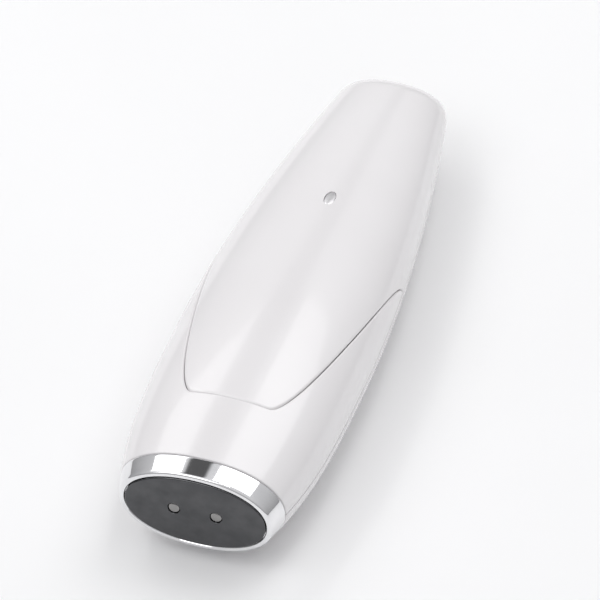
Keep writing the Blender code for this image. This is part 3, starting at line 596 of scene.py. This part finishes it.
def makeCap():
    # the outside from the end face to the rim, round the rim, and back up the inside
    outside = capRows(0.0, capSizes["edgeRound"], capSizes["rows"], 18, 8)
    inside = capRows(walls["cap"], capSizes["innerRound"], capSizes["rows"] // 2, 10, 4)
    grid = np.concatenate([outside[::-1], rimRows(), inside])
    cap = makePiece("capShell", [(grid, "fan")], pearl, "cap", ["cap_shell"])
    station = length - capSizes["badgeFromTip"]
    surface = axisHeight + halfThickness(station)
    across, along = capSizes["badgeWidth"] / 2, capSizes["badgeLength"] / 2
    floor = surface - capSizes["badgeDepth"]
    gap = capSizes["badgeGap"]
    well = badgeWell(station, across + gap, along + gap, floor - gap, surface + 0.002)
    cutAway(cap, [well], pearl)
    # a shallow lens, highest in its middle, with its edge just under the cap's surface
    turn = around(64)
    edgeShare = 0.9 + 0.1 * np.sin(np.linspace(0.2, math.pi / 2, 6))
    share = np.concatenate([np.linspace(0.02, 0.9, 10), edgeShare])[:, None]
    x, y = across * share * np.cos(turn), along * share * np.sin(turn)
    drop = halfThickness(station) - halfThickness(station + y)
    dome = capSizes["badgeDome"] * (1 - share**2)
    z = surface - drop - capSizes["badgeInset"] + dome - capSizes["badgeEdge"] * share**12
    top = np.stack([x, y + station + lowEnd, z], -1)
    foot = top[-1:].copy()
    foot[..., 2] = floor + gap
    makePiece("capBadge", [(np.concatenate([top, foot]), "fan")], satinInlay, "cap", ["cap_badge"])


makeCap()
print("cap made")


# handle shells

shellSizes = {"edgeRound": 0.0003, "partingRound": 0.00016, "columns": 132, "lowRows": 64,
              "neckRows": 60, "ringSetback": 0.008, "ringWidth": 0.0010, "ringClearance": 0.00015,
              "bulkhead": 0.0025, "opening": 0.0080, "lip": 0.0001, "endTurn": 0.016, "creep": 2e-6}
shellStart = ringBox[0].y - lowEnd - walls["discProud"] + walls["ringLength"] + walls["gap"]
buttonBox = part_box("button_cap")


def halfAngles(side):
    # even turns between five columns at each end, which carry the round parting edge
    first = shellSizes["endTurn"]
    middle = np.linspace(first, math.pi - first, shellSizes["columns"] - 8)[1:-1]
    edge = np.linspace(0.2, 1, 5) * first
    angles = np.concatenate([edge, middle, math.pi - edge[::-1]])
    return angles if side > 0 else angles + math.pi


def partEdge(points, side, inward):
    # stands the end columns on the parting plane and turns them in by a quarter round
    size = shellSizes["partingRound"]
    lift = np.array([0, 0.1, 0.3, 0.6, 1.0])
    pull = size * (1 - np.sqrt(1 - (1 - lift) ** 2)) * inward
    rise = walls["gap"] / 2 + size * lift
    for columns, end in ((np.arange(5), 0), (-1 - np.arange(5), -1)):
        x = points[:, end, 0][:, None]
        points[:, columns, 0] = x - np.sign(x) * pull
        points[:, columns, 2] = axisHeight + side * rise
    return points


def makeHalfShell(name, side, node):
    # rows along the body, the rim's step, the neck and its ring groove, closed by the inside wall
    angle = halfAngles(side)
    stretch = rimStretch(angle)
    seam = rimStation(angle) - (walls["seam"] + walls["shellSeam"]) * stretch
    size = shellSizes["edgeRound"]
    turn, lip = quarter(6), shellSizes["lip"]
    stations, outer = [], []

    def addRow(station, points):
        # one row of the outside, and the station that the inside takes from it
        stations.append(np.broadcast_to(station, angle.shape))
        outer.append(points)

    def addRows(surface, rows):
        # rows of a surface from (station, inset) pairs
        for station, inset in rows:
            addRow(station, surface(station, angle, inset))

    start, end = shellStart + size, seam - size * stretch
    addRows(bodyPoints, [(shellStart + size * (1 - math.sin(t)), size * (1 - math.cos(t)))
                         for t in turn[::-1]])
    addRows(bodyPoints, [(start + (end - start) * share, 0)
                         for share in np.linspace(0, 1, shellSizes["lowRows"])[1:] ** 1.1])
    addRows(bodyPoints, [(seam - size * (1 - math.sin(t)) * stretch, size * (1 - math.cos(t)))
                         for t in turn[1:]])
    edge, foot = outer[-1], neckPoints(seam, angle)
    for share in (0.5, 0.94):
        addRow(seam, edge + (foot - edge) * share)
    groove = neckEnd - shellSizes["ringSetback"]
    first = seam + lip
    addRows(neckPoints, [(first + (groove - first) * share, 0)
                         for share in np.linspace(0, 1, shellSizes["neckRows"])])
    deep = shellSizes["ringWidth"] + walls["gap"] - shellSizes["ringClearance"]
    width = shellSizes["ringWidth"] + 2 * walls["gap"]
    addRows(neckPoints, [(groove + lip, lip), (groove + 1.1 * lip, deep), (groove + width, deep),
                         (groove + width + 0.1 * lip, lip), (groove + width + lip, 0)])
    start = groove + width + lip
    addRows(neckPoints, [(start + (neckEnd - size - start) * share, 0)
                         for share in (0.25, 0.5, 0.75, 1)])
    addRows(neckPoints, [(neckEnd - size * (1 - math.sin(t)), size * (1 - math.cos(t)))
                         for t in turn[1:]])
    # the inside follows row by row, never turning back, and ends in the bulkhead's round opening
    count, bulkhead = len(outer), neckEnd - shellSizes["bulkhead"]
    creep = shellSizes["creep"] * np.arange(count)[:, None]
    stations = np.minimum(np.stack(stations) + creep, bulkhead - creep[::-1])
    inner = insidePoints(stations, angle[None, :])
    opening = np.array([[bulkhead + 1e-5], [(bulkhead + neckEnd) / 2], [neckEnd]])
    inner[-3:] = oval(opening, angle[None, :], shellSizes["opening"], shellSizes["opening"], 2)
    outer, inner = partEdge(np.stack(outer), side, 1), partEdge(inner, side, 0)
    grid = np.concatenate([outer, inner[:, ::-1]], 1)
    return makePiece(name, [(grid, "strip")], pearl, "handle", [node])


def wellOnNeck(station, across, halfAcross, halfAlong, flare, steps=72):
    # an oval cutter through the neck's front whose mouth is bevelled along the curved surface
    turn = around(steps, making["cutTurn"])
    rows, clear = [], 0.0015
    for grow, over in ((0, None), (0, -flare), (flare, 0.0), (2 * flare, flare), (2 * flare, clear)):
        x = across + (halfAcross + grow) * np.cos(turn)
        y = station + (halfAlong + grow) * np.sin(turn)
        z = np.zeros(x.shape) if over is None else neckHeight(y, x) + over
        rows.append(np.stack([x, y + lowEnd, z + axisHeight], -1))
    return [(np.stack(rows), "fan")]


buttonSizes = {"clearance": 0.00025, "mouth": 0.0002, "dish": 0.00035, "edge": 0.0004,
               "flange": 0.0010, "flangeThickness": 0.0007, "stem": 0.0017, "proud": 0.0004,
               "width": 0.0128, "length": 0.0088}
buttonStation = boxMiddle(buttonBox)[1] - lowEnd
lightSizes = {"clearance": 0.00012, "mouth": 0.0001, "dome": 0.00025}
lightBoxes = [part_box(f"light_pipe_{place}") for place in ("left", "middle", "right")]
screwBoxes = [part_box(f"neck_screw_{place}") for place in ("left", "right")]
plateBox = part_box("back_electrode")


def makeFrontShell():
    # the half shell less the button's and the lights' wells
    shell = makeHalfShell("frontShell", 1, "front_shell")
    grow = buttonSizes["clearance"]
    half = buttonSizes["width"] / 2 + grow, buttonSizes["length"] / 2 + grow
    wells = [wellOnNeck(buttonStation, 0, *half, buttonSizes["mouth"])]
    for box in lightBoxes:
        x, y, _ = boxMiddle(box)
        radius = boxRadius(box) + lightSizes["clearance"]
        wells.append(wellOnNeck(y - lowEnd, x, radius, radius, lightSizes["mouth"], 40))
    return cutAway(shell, wells, pearl)


plateSizes = {"corner": 0.0060, "clearance": 0.00025, "edgeRound": 0.00045}


def plateOutline(grow):
    # a rectangle with quarter-round corners, around the back plate's middle
    low, high = plateBox
    across, along = (high.x - low.x) / 2 + grow, (high.y - low.y) / 2 + grow
    radius = max(plateSizes["corner"] + grow, 0.0002)
    sides = []
    for corner, (right, ahead) in enumerate(((1, 1), (-1, 1), (-1, -1), (1, -1))):
        bend = quarter(12) + corner * math.pi / 2
        sides.append(np.stack([right * (across - radius) + radius * np.cos(bend),
                               ahead * (along - radius) + radius * np.sin(bend)], -1))
    return np.concatenate(sides) + np.array(boxMiddle(plateBox)[:2])


def outlineRow(outline, height):
    # an outline at one height
    return np.concatenate([outline, np.full((len(outline), 1), height)], 1)


def makeBackShell():
    # the half shell less the plate's pocket and the neck screws' counterbores
    shell = makeHalfShell("backShell", -1, "back_shell")
    top = plateBox[1].z + walls["gap"]
    outline = plateOutline(plateSizes["clearance"])
    pocket = np.stack([outlineRow(outline, height) for height in (-0.002, top)])
    cutters, bevel = [[(pocket, "fan")]], 0.0002
    for box in screwBoxes:
        low, radius = box[0].z, boxRadius(box) + walls["gap"]
        profile = [(radius + bevel, -0.006), (radius + bevel, low), (radius, low + bevel),
                   (radius, low + 0.0013)]
        cutters.append([(turnedGrid(profile, (*boxMiddle(box)[:2], 0), "Z", 40), "fan")])
    return cutAway(shell, cutters, pearl)


makeFrontShell()
makeBackShell()
print("handle shells made")


# neck ring, base seal

def makeSoftRing(name, station, depth, radius, points, finish, node):
    # a round cord carried round the neck or the spigot
    turn = around(16)[:, None]
    grid = points(station + 0 * turn, fullTurn[None, :], depth + radius * np.sin(turn))
    grid[..., 1] += radius * np.cos(turn)
    makePiece(name, [(grid, "ring")], finish, "handle", [node])


ringRadius = shellSizes["ringWidth"] / 2
ringStation = neckEnd - shellSizes["ringSetback"] + walls["gap"] + ringRadius
makeSoftRing("neckRing", ringStation, ringRadius - shellSizes["ringClearance"], ringRadius,
             neckPoints, silicone, "neck_ring")
sealLow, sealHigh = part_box("base_seal")
sealRadius = (sealHigh.y - sealLow.y) / 2
makeSoftRing("baseSeal", (sealLow.y + sealHigh.y) / 2 - lowEnd,
             walls["shell"] + walls["gap"] + sealRadius, sealRadius, bodyPoints, blackRubber, "base_seal")


# base end

baseSizes = {"edgeRound": 0.0006, "seamRound": 0.00025, "discRim": 0.0013,
             "spigotWall": 0.0022, "sealGroove": 0.0012, "ledgeThickness": 0.0026,
             "ledgeOpening": (0.0098, 0.0060), "discRound": 0.00035, "seatGap": 0.00015,
             "bevel": 0.0002, "spigotBevel": 0.0003, "headSunk": 0.0012, "boreEnd": 0.0080,
             "contactGap": 0.00018, "contactDome": 0.00012}
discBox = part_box("base_disc")
discThickness = discBox[1].y - discBox[0].y
contactBoxes = [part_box(f"charge_contact_{place}") for place in ("left", "right")]
baseScrewBoxes = [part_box(f"base_screw_{place}") for place in ("left", "right")]


def roundRows(station, inset, size, along, steps=6):
    # a quarter round from the outside (inset) to an end face at station
    return [(station + along * size * (1 - math.sin(t)), inset + size * (1 - math.cos(t)))
            for t in quarter(steps)]


def makeBaseRing():
    # outside band, step, spigot with its seal groove, inside wall, ledge and the disc's seat
    spigot = walls["shell"] + walls["gap"]
    inside = spigot + baseSizes["spigotWall"]
    top, bevel, spigotBevel = walls["ringLength"], baseSizes["bevel"], baseSizes["spigotBevel"]
    groove = top + baseSizes["sealGroove"]
    deep = spigot + 2 * sealRadius + walls["gap"]
    grooveEnd = groove + 2 * sealRadius + 2 * walls["gap"]
    first, spigotEnd = ringBox[0].y - lowEnd, ringBox[1].y - lowEnd
    ledgeStart = discThickness + walls["gap"]
    ledgeEnd = ledgeStart + baseSizes["ledgeThickness"]
    band = np.linspace(first + baseSizes["edgeRound"], top - baseSizes["seamRound"], 12)[1:-1]
    outline = roundRows(first, 0, baseSizes["edgeRound"], 1)[::-1] + [(station, 0) for station in band]
    outline += roundRows(top, 0, baseSizes["seamRound"], -1)
    outline += [(top, spigot - bevel), (top + bevel, spigot), (groove, spigot), (groove, deep),
                (grooveEnd, deep), (grooveEnd, spigot), (spigotEnd - spigotBevel, spigot),
                (spigotEnd, spigot + spigotBevel), (spigotEnd, inside), (ledgeEnd, inside)]
    rows = [bodyPoints(station, fullTurn, inset) for station, inset in outline]
    seatInset = baseSizes["discRim"] - baseSizes["seatGap"]
    seat = np.array([body["baseWidth"] / 2 - seatInset, body["baseThickness"] / 2 - seatInset])
    opening = baseSizes["ledgeOpening"]
    for station, size in ((ledgeEnd, opening), (ledgeStart, opening), (ledgeStart, seat),
                          (first + bevel, seat), (first, seat + bevel)):
        rows.append(oval(station, fullTurn, *size))
    ring = makePiece("baseRing", [(np.stack(rows), "ring")], chrome, "handle", ["base_ring"])
    bores = []
    for box in baseScrewBoxes:
        x, _, z = boxMiddle(box)
        radius, sunk = boxRadius(box) + bevel, box[0].y - lowEnd + baseSizes["headSunk"]
        profile = [(radius, 0.0005), (radius, sunk), (radius * 0.6, sunk),
                   (radius * 0.6, baseSizes["boreEnd"])]
        bores.append([(turnedGrid(profile, (x, lowEnd, z), "Y", 32), "fan")])
    return cutAway(ring, bores, chrome)


def makeBaseDisc():
    # a flat oval with a round front edge, less the two contacts' holes
    across = body["baseWidth"] / 2 - baseSizes["discRim"]
    up = body["baseThickness"] / 2 - baseSizes["discRim"]
    size, wells = baseSizes["discRound"], []
    rows = [oval(0.0, fullTurn, (across - size) * share, (up - size) * share)
            for share in (0.05, 0.35, 0.65, 0.85, 1)]
    for t in quarter(6)[1:]:
        out = size * math.sin(t)
        rows.append(oval(size * (1 - math.cos(t)), fullTurn, across - size + out, up - size + out))
    rows += [oval(discThickness, fullTurn, across * share, up * share) for share in (1, 0.5, 0.05)]
    disc = makePiece("baseDisc", [(np.stack(rows), "fan")], smokedMirror, "handle", ["base_disc"])
    for box in contactBoxes:
        radius = boxRadius(box) + baseSizes["contactGap"]
        profile = [(radius + 0.0002, -0.0004), (radius + 0.0001, 0.0), (radius, 0.0001), (radius, 0.004)]
        centre = (boxMiddle(box)[0], lowEnd, axisHeight)
        wells.append([(turnedGrid(profile, centre, "Y", 40), "fan")])
    return cutAway(disc, wells, smokedMirror)


def makeContacts():
    # pins with a slightly domed face and a round shoulder
    for place, box in zip(("Left", "Right"), contactBoxes):
        radius, depth = boxRadius(box), box[1].y - box[0].y
        profile = [(radius * share, baseSizes["contactDome"] * share**2 + 0.0001 * share**10)
                   for share in np.linspace(0.05, 1, 9)]
        profile += [(radius, 0.0005), (radius, depth - 0.0003), (radius * 0.7, depth)]
        start = (boxMiddle(box)[0], box[0].y, axisHeight)
        makePiece(f"chargeContact{place}", [(turnedGrid(profile, start, "Y", 40), "fan")], contactMetal,
                  "handle", [f"charge_contact_{place.lower()}"])


makeBaseRing()
makeBaseDisc()
makeContacts()
print("base end made")


# back plate

def makeBackPlate():
    # the outline shrunk by a quarter round up from the outer face
    low, high = plateBox
    size = plateSizes["edgeRound"]
    rows = [outlineRow(plateOutline(-size * 9), low.z), outlineRow(plateOutline(-size), low.z)]
    for t in quarter(7)[1:]:
        rows.append(outlineRow(plateOutline(-size * (1 - math.sin(t))), low.z + size * (1 - math.cos(t))))
    rows += [outlineRow(plateOutline(0), high.z - 0.0001), outlineRow(plateOutline(-0.0001), high.z)]
    makePiece("backElectrode", [(np.stack(rows), "fan")], satinSteel, "handle", ["back_electrode"])


makeBackPlate()


# screws

screwSizes = {"slotWidth": 0.00042, "slotReach": 0.62, "slotDepth": 0.00055, "shank": 0.0009,
              "headHeight": 0.0010, "pitch": 0.0005, "threadRoot": 0.84}


def screwGrid(low, high, direction, turned):
    # head with a cross recess: the depth falls off smoothly from the two crossing slots
    headRadius, shank, headHeight = (high.x - low.x) / 2, screwSizes["shank"], screwSizes["headHeight"]
    longWay = high.y - low.y if direction == "Y" else high.z - low.z
    turn = around(96)
    share = np.concatenate([np.linspace(0.02, 0.75, 26), np.linspace(0.78, 1, 8)])[:, None]
    radius = headRadius * share
    x, z = radius * np.cos(turn), radius * np.sin(turn)
    nearest = np.minimum(np.abs(x), np.abs(z))
    inSlot = np.clip((screwSizes["slotWidth"] / 2 - nearest) / 0.00006 + 0.5, 0, 1)
    reach = np.clip((screwSizes["slotReach"] * headRadius - radius) / 0.0001 + 0.5, 0, 1)
    y = headHeight * 0.55 * share**6 + screwSizes["slotDepth"] * inSlot * reach
    head = np.stack([x, y, z], -1)
    # shank: a ridge for each turn of the thread, down to a blunt point
    pitch, root = screwSizes["pitch"], shank * screwSizes["threadRoot"]
    tail = [(headRadius, headHeight * 0.8), (headRadius * 0.96, headHeight), (shank, headHeight)]
    for at in range(int((longWay - headHeight - 0.0012) / pitch)):
        base = headHeight + 0.0004 + at * pitch
        tail += [(root, base), (shank, base + pitch * 0.5)]
    tail += [(root, longWay - 0.0008), (shank * 0.1, longWay)]
    radii, heights = np.array(tail).T[..., None]
    rest = np.stack(np.broadcast_arrays(radii * np.cos(turn), heights, radii * np.sin(turn)), -1)
    grid = np.concatenate([head, rest])
    if direction == "Z":
        grid = grid[..., [0, 2, 1]]
    start = np.array(boxMiddle((low, high)))
    axis = 1 if direction == "Y" else 2
    start[axis] = high[axis] if turned else low[axis]
    grid[..., axis] *= -1 if turned else 1
    return grid + start


screwNodes = [("base_screw_left", "Y", False), ("base_screw_right", "Y", False),
              ("neck_screw_left", "Z", False), ("neck_screw_right", "Z", False)]
screwNodes += [(f"board_screw_{at}", "Z", True) for at in range(1, 5)]
for node, direction, turned in screwNodes:
    words = node.split("_")
    name = words[0] + "".join(word.capitalize() for word in words[1:])
    grid = screwGrid(*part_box(node), direction, turned)
    makePiece(name, [(grid, "fan")], screwSteel, "handle", [node], 40)
print("screws made")


# button and light pipes

def makeButton():
    # oval rings from the middle of the dished top down to the stem's foot
    half, turn = (buttonSizes["width"] / 2, buttonSizes["length"] / 2), around(96)
    edge, flange, stem = buttonSizes["edge"], buttonSizes["flange"], buttonSizes["stem"]
    rows = []

    def addRing(across, along, height=None, drop=0.0):
        # at one height above the axis, or following the neck's surface less a drop
        x, y = across * np.cos(turn), buttonStation + along * np.sin(turn)
        z = neckHeight(y, x) + buttonSizes["proud"] - drop if height is None else np.full(x.shape, height)
        rows.append(np.stack([x, y + lowEnd, z + axisHeight], -1))

    for share in np.linspace(0.03, 1, 16):  # the finger dish is deepest in its middle
        dish = buttonSizes["dish"] * np.clip(1 - (share / 0.82) ** 2, 0, 1) ** 1.5
        addRing((half[0] - edge) * share, (half[1] - edge) * share, drop=dish)
    for t in quarter(6)[1:]:
        inset = edge * (1 - math.sin(t))
        addRing(half[0] - inset, half[1] - inset, drop=edge * (1 - math.cos(t)))
    flangeTop = neckHeight(buttonStation, half[0] + flange, walls["shell"]) - walls["gap"]
    flangeFoot = flangeTop - buttonSizes["flangeThickness"]
    addRing(*half, flangeTop)
    addRing(half[0] + flange, half[1] + flange, flangeTop)
    addRing(half[0] + flange, half[1] + flange, flangeFoot)
    addRing(stem, stem, flangeFoot)
    addRing(stem, stem, buttonBox[0].z - axisHeight)
    makePiece("buttonCap", [(np.stack(rows), "fan")], pearl, "button", ["button_cap"])


def makeLightPipes():
    # round pipes whose face falls away from its middle as the square of the radius
    for place, box in zip(("Left", "Middle", "Right"), lightBoxes):
        radius, depth = boxRadius(box), box[1].z - box[0].z
        profile = [(radius * share, depth - lightSizes["dome"] * share**2)
                   for share in np.linspace(0.05, 1, 8)]
        profile += [(radius, depth * 0.5), (radius, 0.0002), (radius * 0.8, 0)]
        grid = turnedGrid(profile, (*boxMiddle(box)[:2], box[0].z), "Z", 32)
        makePiece(f"lightPipe{place}", [(grid, "fan")], clear, "handle", [f"light_pipe_{place.lower()}"])


makeButton()
makeLightPipes()
print("button and lights made")


# head

headSizes = {"slot": (0.0136, 0.0026), "slotPower": 4, "collarRound": 0.0024, "collarReach": 1.5,
             "collarBevel": 0.00015, "lip": 0.0008, "lipGap": 0.0002, "lipPower": 8,
             "bladeWidth": 0.0242, "bladeTipWidth": 0.0206, "bladeThickness": 0.0008,
             "edgeThickness": 0.00026, "bladeCorner": 0.0035, "rise": 0.0014, "tangWidth": 0.0084,
             "shoulderSetback": 0.0006, "shoulderLength": 0.0016, "bendSetback": 0.004,
             "grindLength": 0.0045}
collarBox, sealBox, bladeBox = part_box("head_collar"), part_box("head_seal"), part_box("spatula_blade")


def makeCollar():
    # a turned-in oval: the sides follow the neck and the front rolls over in an elliptic quarter
    start, end = collarBox[0].y - lowEnd, collarBox[1].y - lowEnd
    size, bevel = headSizes["collarRound"], headSizes["collarBevel"]
    reach = headSizes["collarReach"] * size
    straight = end - reach
    rows = [neckPoints(start, fullTurn, bevel), neckPoints(start + bevel, fullTurn)]
    rows += [neckPoints(station, fullTurn) for station in np.linspace(start, straight, 8)[1:]]
    rows += [neckPoints(straight + reach * math.sin(t), fullTurn, size * (1 - math.cos(t)))
             for t in quarter(14)[1:]]
    across, up = headSizes["slot"]
    for station, grow in ((end, 0.0003), (end - 0.0001, 0.0001), (end - 0.0003, 0), (start, 0)):
        rows.append(oval(station, fullTurn, across + grow, up + grow, headSizes["slotPower"]))
    makePiece("headCollar", [(np.stack(rows), "ring")], chrome, "handle", ["head_collar"])


def makeSeal():
    # a silicone lip that stands out of the collar and rolls down to the blade
    start, end = sealBox[0].y - lowEnd, sealBox[1].y - lowEnd
    gap, lip, power = headSizes["lipGap"], headSizes["lip"], headSizes["slotPower"]
    outer = np.array(headSizes["slot"]) - gap
    inner = np.array([headSizes["bladeWidth"], headSizes["bladeThickness"]]) / 2 + gap
    rows = [oval(start, fullTurn, *outer, power), oval(end - lip, fullTurn, *outer, power)]
    for t in quarter(8)[1:]:
        share = 1 - math.cos(t)
        rows.append(oval(end - lip * (1 - math.sin(t)), fullTurn, *(outer - (outer - inner) * share),
                         power + (headSizes["lipPower"] - power) * share))
    rows.append(oval(start, fullTurn, *inner, headSizes["lipPower"]))
    makePiece("headSeal", [(np.stack(rows), "ring")], silicone, "handle", ["head_seal"])


def makeBlade():
    # a flat spatula that rises towards its tip as the square of the way along
    start, tip = bladeBox[0].y - lowEnd, bladeBox[1].y - lowEnd
    shoulder = collarBox[0].y - lowEnd + headSizes["shoulderSetback"]
    bend = collarBox[1].y - lowEnd + headSizes["bendSetback"]
    corner, rounding = headSizes["bladeCorner"], headSizes["shoulderLength"]
    straight, turn = tip - corner, quarter(14)
    full, last, tang = (headSizes[key] / 2 for key in ("bladeWidth", "bladeTipWidth", "tangWidth"))
    # half widths at stations: tang, round shoulder, straight, taper and round tip corners
    along = np.linspace(bend, straight, 44)
    station = np.concatenate([
        np.linspace(start, shoulder - 0.0001, 8), shoulder + rounding * (1 - np.cos(turn)),
        np.linspace(shoulder + rounding + 0.0002, bend - 0.0004, 12), along,
        straight + corner * np.sin(turn)[1:]])
    across = np.concatenate([
        np.full(8, tang), tang + (full - tang) * np.sin(turn), np.full(12, full),
        full - (full - last) * (along - bend) / (straight - bend),
        last - corner * (1 - np.cos(turn))[1:]])[:, None]
    rise = headSizes["rise"] * np.clip((station - bend) / (tip - bend), 0, 1) ** 2
    grind = headSizes["grindLength"]
    thin = np.clip((station - tip + grind) / grind, 0, 1)[:, None]
    thick, fine = headSizes["bladeThickness"], headSizes["edgeThickness"]
    half = (thick - (thick - fine) * thin) / 2
    # section: two flats joined by half-round edges
    bow = np.linspace(-math.pi / 2, math.pi / 2, 9)
    flat = np.linspace(1, -1, 28)[1:-1]
    side = across - half + half * np.cos(bow)
    x = np.concatenate([side, (across - half) * flat, -side, -(across - half) * flat], 1)
    z = np.concatenate([half * np.sin(bow), half + 0 * flat, -half * np.sin(bow), -half + 0 * flat], 1)
    y = np.broadcast_to(station[:, None] + lowEnd, x.shape)
    grid = np.stack([x, y, z + rise[:, None] + axisHeight], -1)
    makePiece("spatulaBlade", [(grid, "fan")], bladeSteel, "handle", ["spatula_blade"])


makeCollar()
makeSeal()
makeBlade()
print("head made")


# floor, lights and camera

studio = {"floorSize": 12.0, "azimuth": 18.4, "elevation": 42.6, "lens": 520, "distance": 2.0,
          "horizon": 0.34, "zenith": 0.80, "gapLean": -0.29, "gapDepth": 0.86, "floorDrop": 0.0001}
lamps = [  # name, centre, size, power and what it is aimed at
    ("boxRight", (0.34, 0.62, 1.0), (0.78, 0.80), 3.0, (0.34, 0.62, 0)),
    ("boxLeft", (-0.85, 0.62, 1.0), (0.78, 0.80), 2.6, (-0.85, 0.62, 0)),
    ("stripRight", (0.13, 0.07, 1.0), (0.34, 0.16), 0.7, (0.13, 0.07, 0)),
    ("stripLeft", (-0.62, 0.07, 1.0), (0.34, 0.16), 0.7, (-0.62, 0.07, 0)),
    ("key", (-0.55, -0.75, 1.25), (1.2, 0.8), 4.6, (0, 0, 0)),
]


def makeFloor():
    # pale plaster with the faintest mottling
    made = Finish("floorPaint", "", 0.55)
    made.set(Base_Color=made.ramp(made.noise(6, 4.0), (0.3, (0.90, 0.90, 0.902)), (0.7, (0.93, 0.93, 0.932))))
    made.set(Normal=made.bump(made.noise(300, 3.0), 0.03, 0.0002))
    half, low = studio["floorSize"] / 2, -studio["floorDrop"]
    mesh = bpy.data.meshes.new("floor")
    corners = [(-half, -half, low), (half, -half, low), (half, half, low), (-half, half, low)]
    mesh.from_pydata(corners, [], [(0, 1, 2, 3)])
    mesh.materials.append(made.material)
    floor = bpy.data.objects.new("floor", mesh)
    bpy.context.scene.collection.objects.link(floor)


def makeSoftbox(name, centre, size, power, target):
    # a soft rectangular lamp turned to face its target
    light = bpy.data.lights.new(name, "AREA")
    light.shape = "RECTANGLE"
    light.size, light.size_y = size
    light.energy = power
    lamp = bpy.data.objects.new(name, light)
    bpy.context.scene.collection.objects.link(lamp)
    lamp.location = centre
    lamp.visible_camera = False
    aim = np.array(target) - np.array(centre)
    lamp.rotation_euler = (math.atan2(math.hypot(aim[0], aim[1]), -aim[2]), 0,
                           math.atan2(aim[1], aim[0]) - math.pi / 2)


def makeWorld():
    # brighter overhead than at the horizon, with a dark gap between the two rear boxes
    world = bpy.data.worlds.new("studio")
    world.use_nodes = True
    graph = Graph(world.node_tree)
    ray = graph.node("ShaderNodeTexCoord", output="Generated")
    sides = [graph.node("ShaderNodeSeparateXYZ", None, {0: ray}, at) for at in range(3)]
    height = graph.node("ShaderNodeClamp", None, {"Value": sides[2], "Min": 0.02})
    sky = height * (studio["zenith"] - studio["horizon"]) + studio["horizon"]
    off = graph.node("ShaderNodeMath", {"operation": "ABSOLUTE"}, {0: sides[0] / height - studio["gapLean"]})
    inGap = graph.node("ShaderNodeMapRange", {"interpolation_type": "SMOOTHSTEP"}, {
        "Value": off, "From Min": 0.09, "From Max": 0.15, "To Min": 1.0, "To Max": 0.0})
    behind = graph.node("ShaderNodeMapRange", {"interpolation_type": "SMOOTHSTEP"}, {
        "Value": sides[1] / height, "From Min": 0.15, "From Max": 0.35})
    light = sky * (1 - inGap * behind * studio["gapDepth"])
    background = world.node_tree.nodes["Background"]
    background.inputs["Color"].default_value = (0.985, 0.985, 1.0, 1)
    graph.feed(background.inputs["Strength"], light)
    bpy.context.scene.world = world


def makeCamera():
    # a long lens aimed at the middle of the whole, from the studio's angles
    camera = bpy.data.cameras.new("camera")
    camera.lens = studio["lens"]
    seen = bpy.data.objects.new("camera", camera)
    bpy.context.scene.collection.objects.link(seen)
    middle = (cadBox[0] + cadBox[1]) / 2
    turn, lift = math.radians(studio["azimuth"]), math.radians(studio["elevation"])
    back = np.array([math.sin(turn) * math.cos(lift), -math.cos(turn) * math.cos(lift), math.sin(lift)])
    seen.location = np.array(middle) + back * studio["distance"]
    seen.rotation_euler = (math.pi / 2 - lift, 0, turn)
    camera.clip_start, camera.clip_end = 0.05, 60
    bpy.context.scene.camera = seen


makeFloor()
makeWorld()
for lamp in lamps:
    makeSoftbox(*lamp)
makeCamera()
bpy.context.scene.view_settings.view_transform = "Standard"
print("studio made")
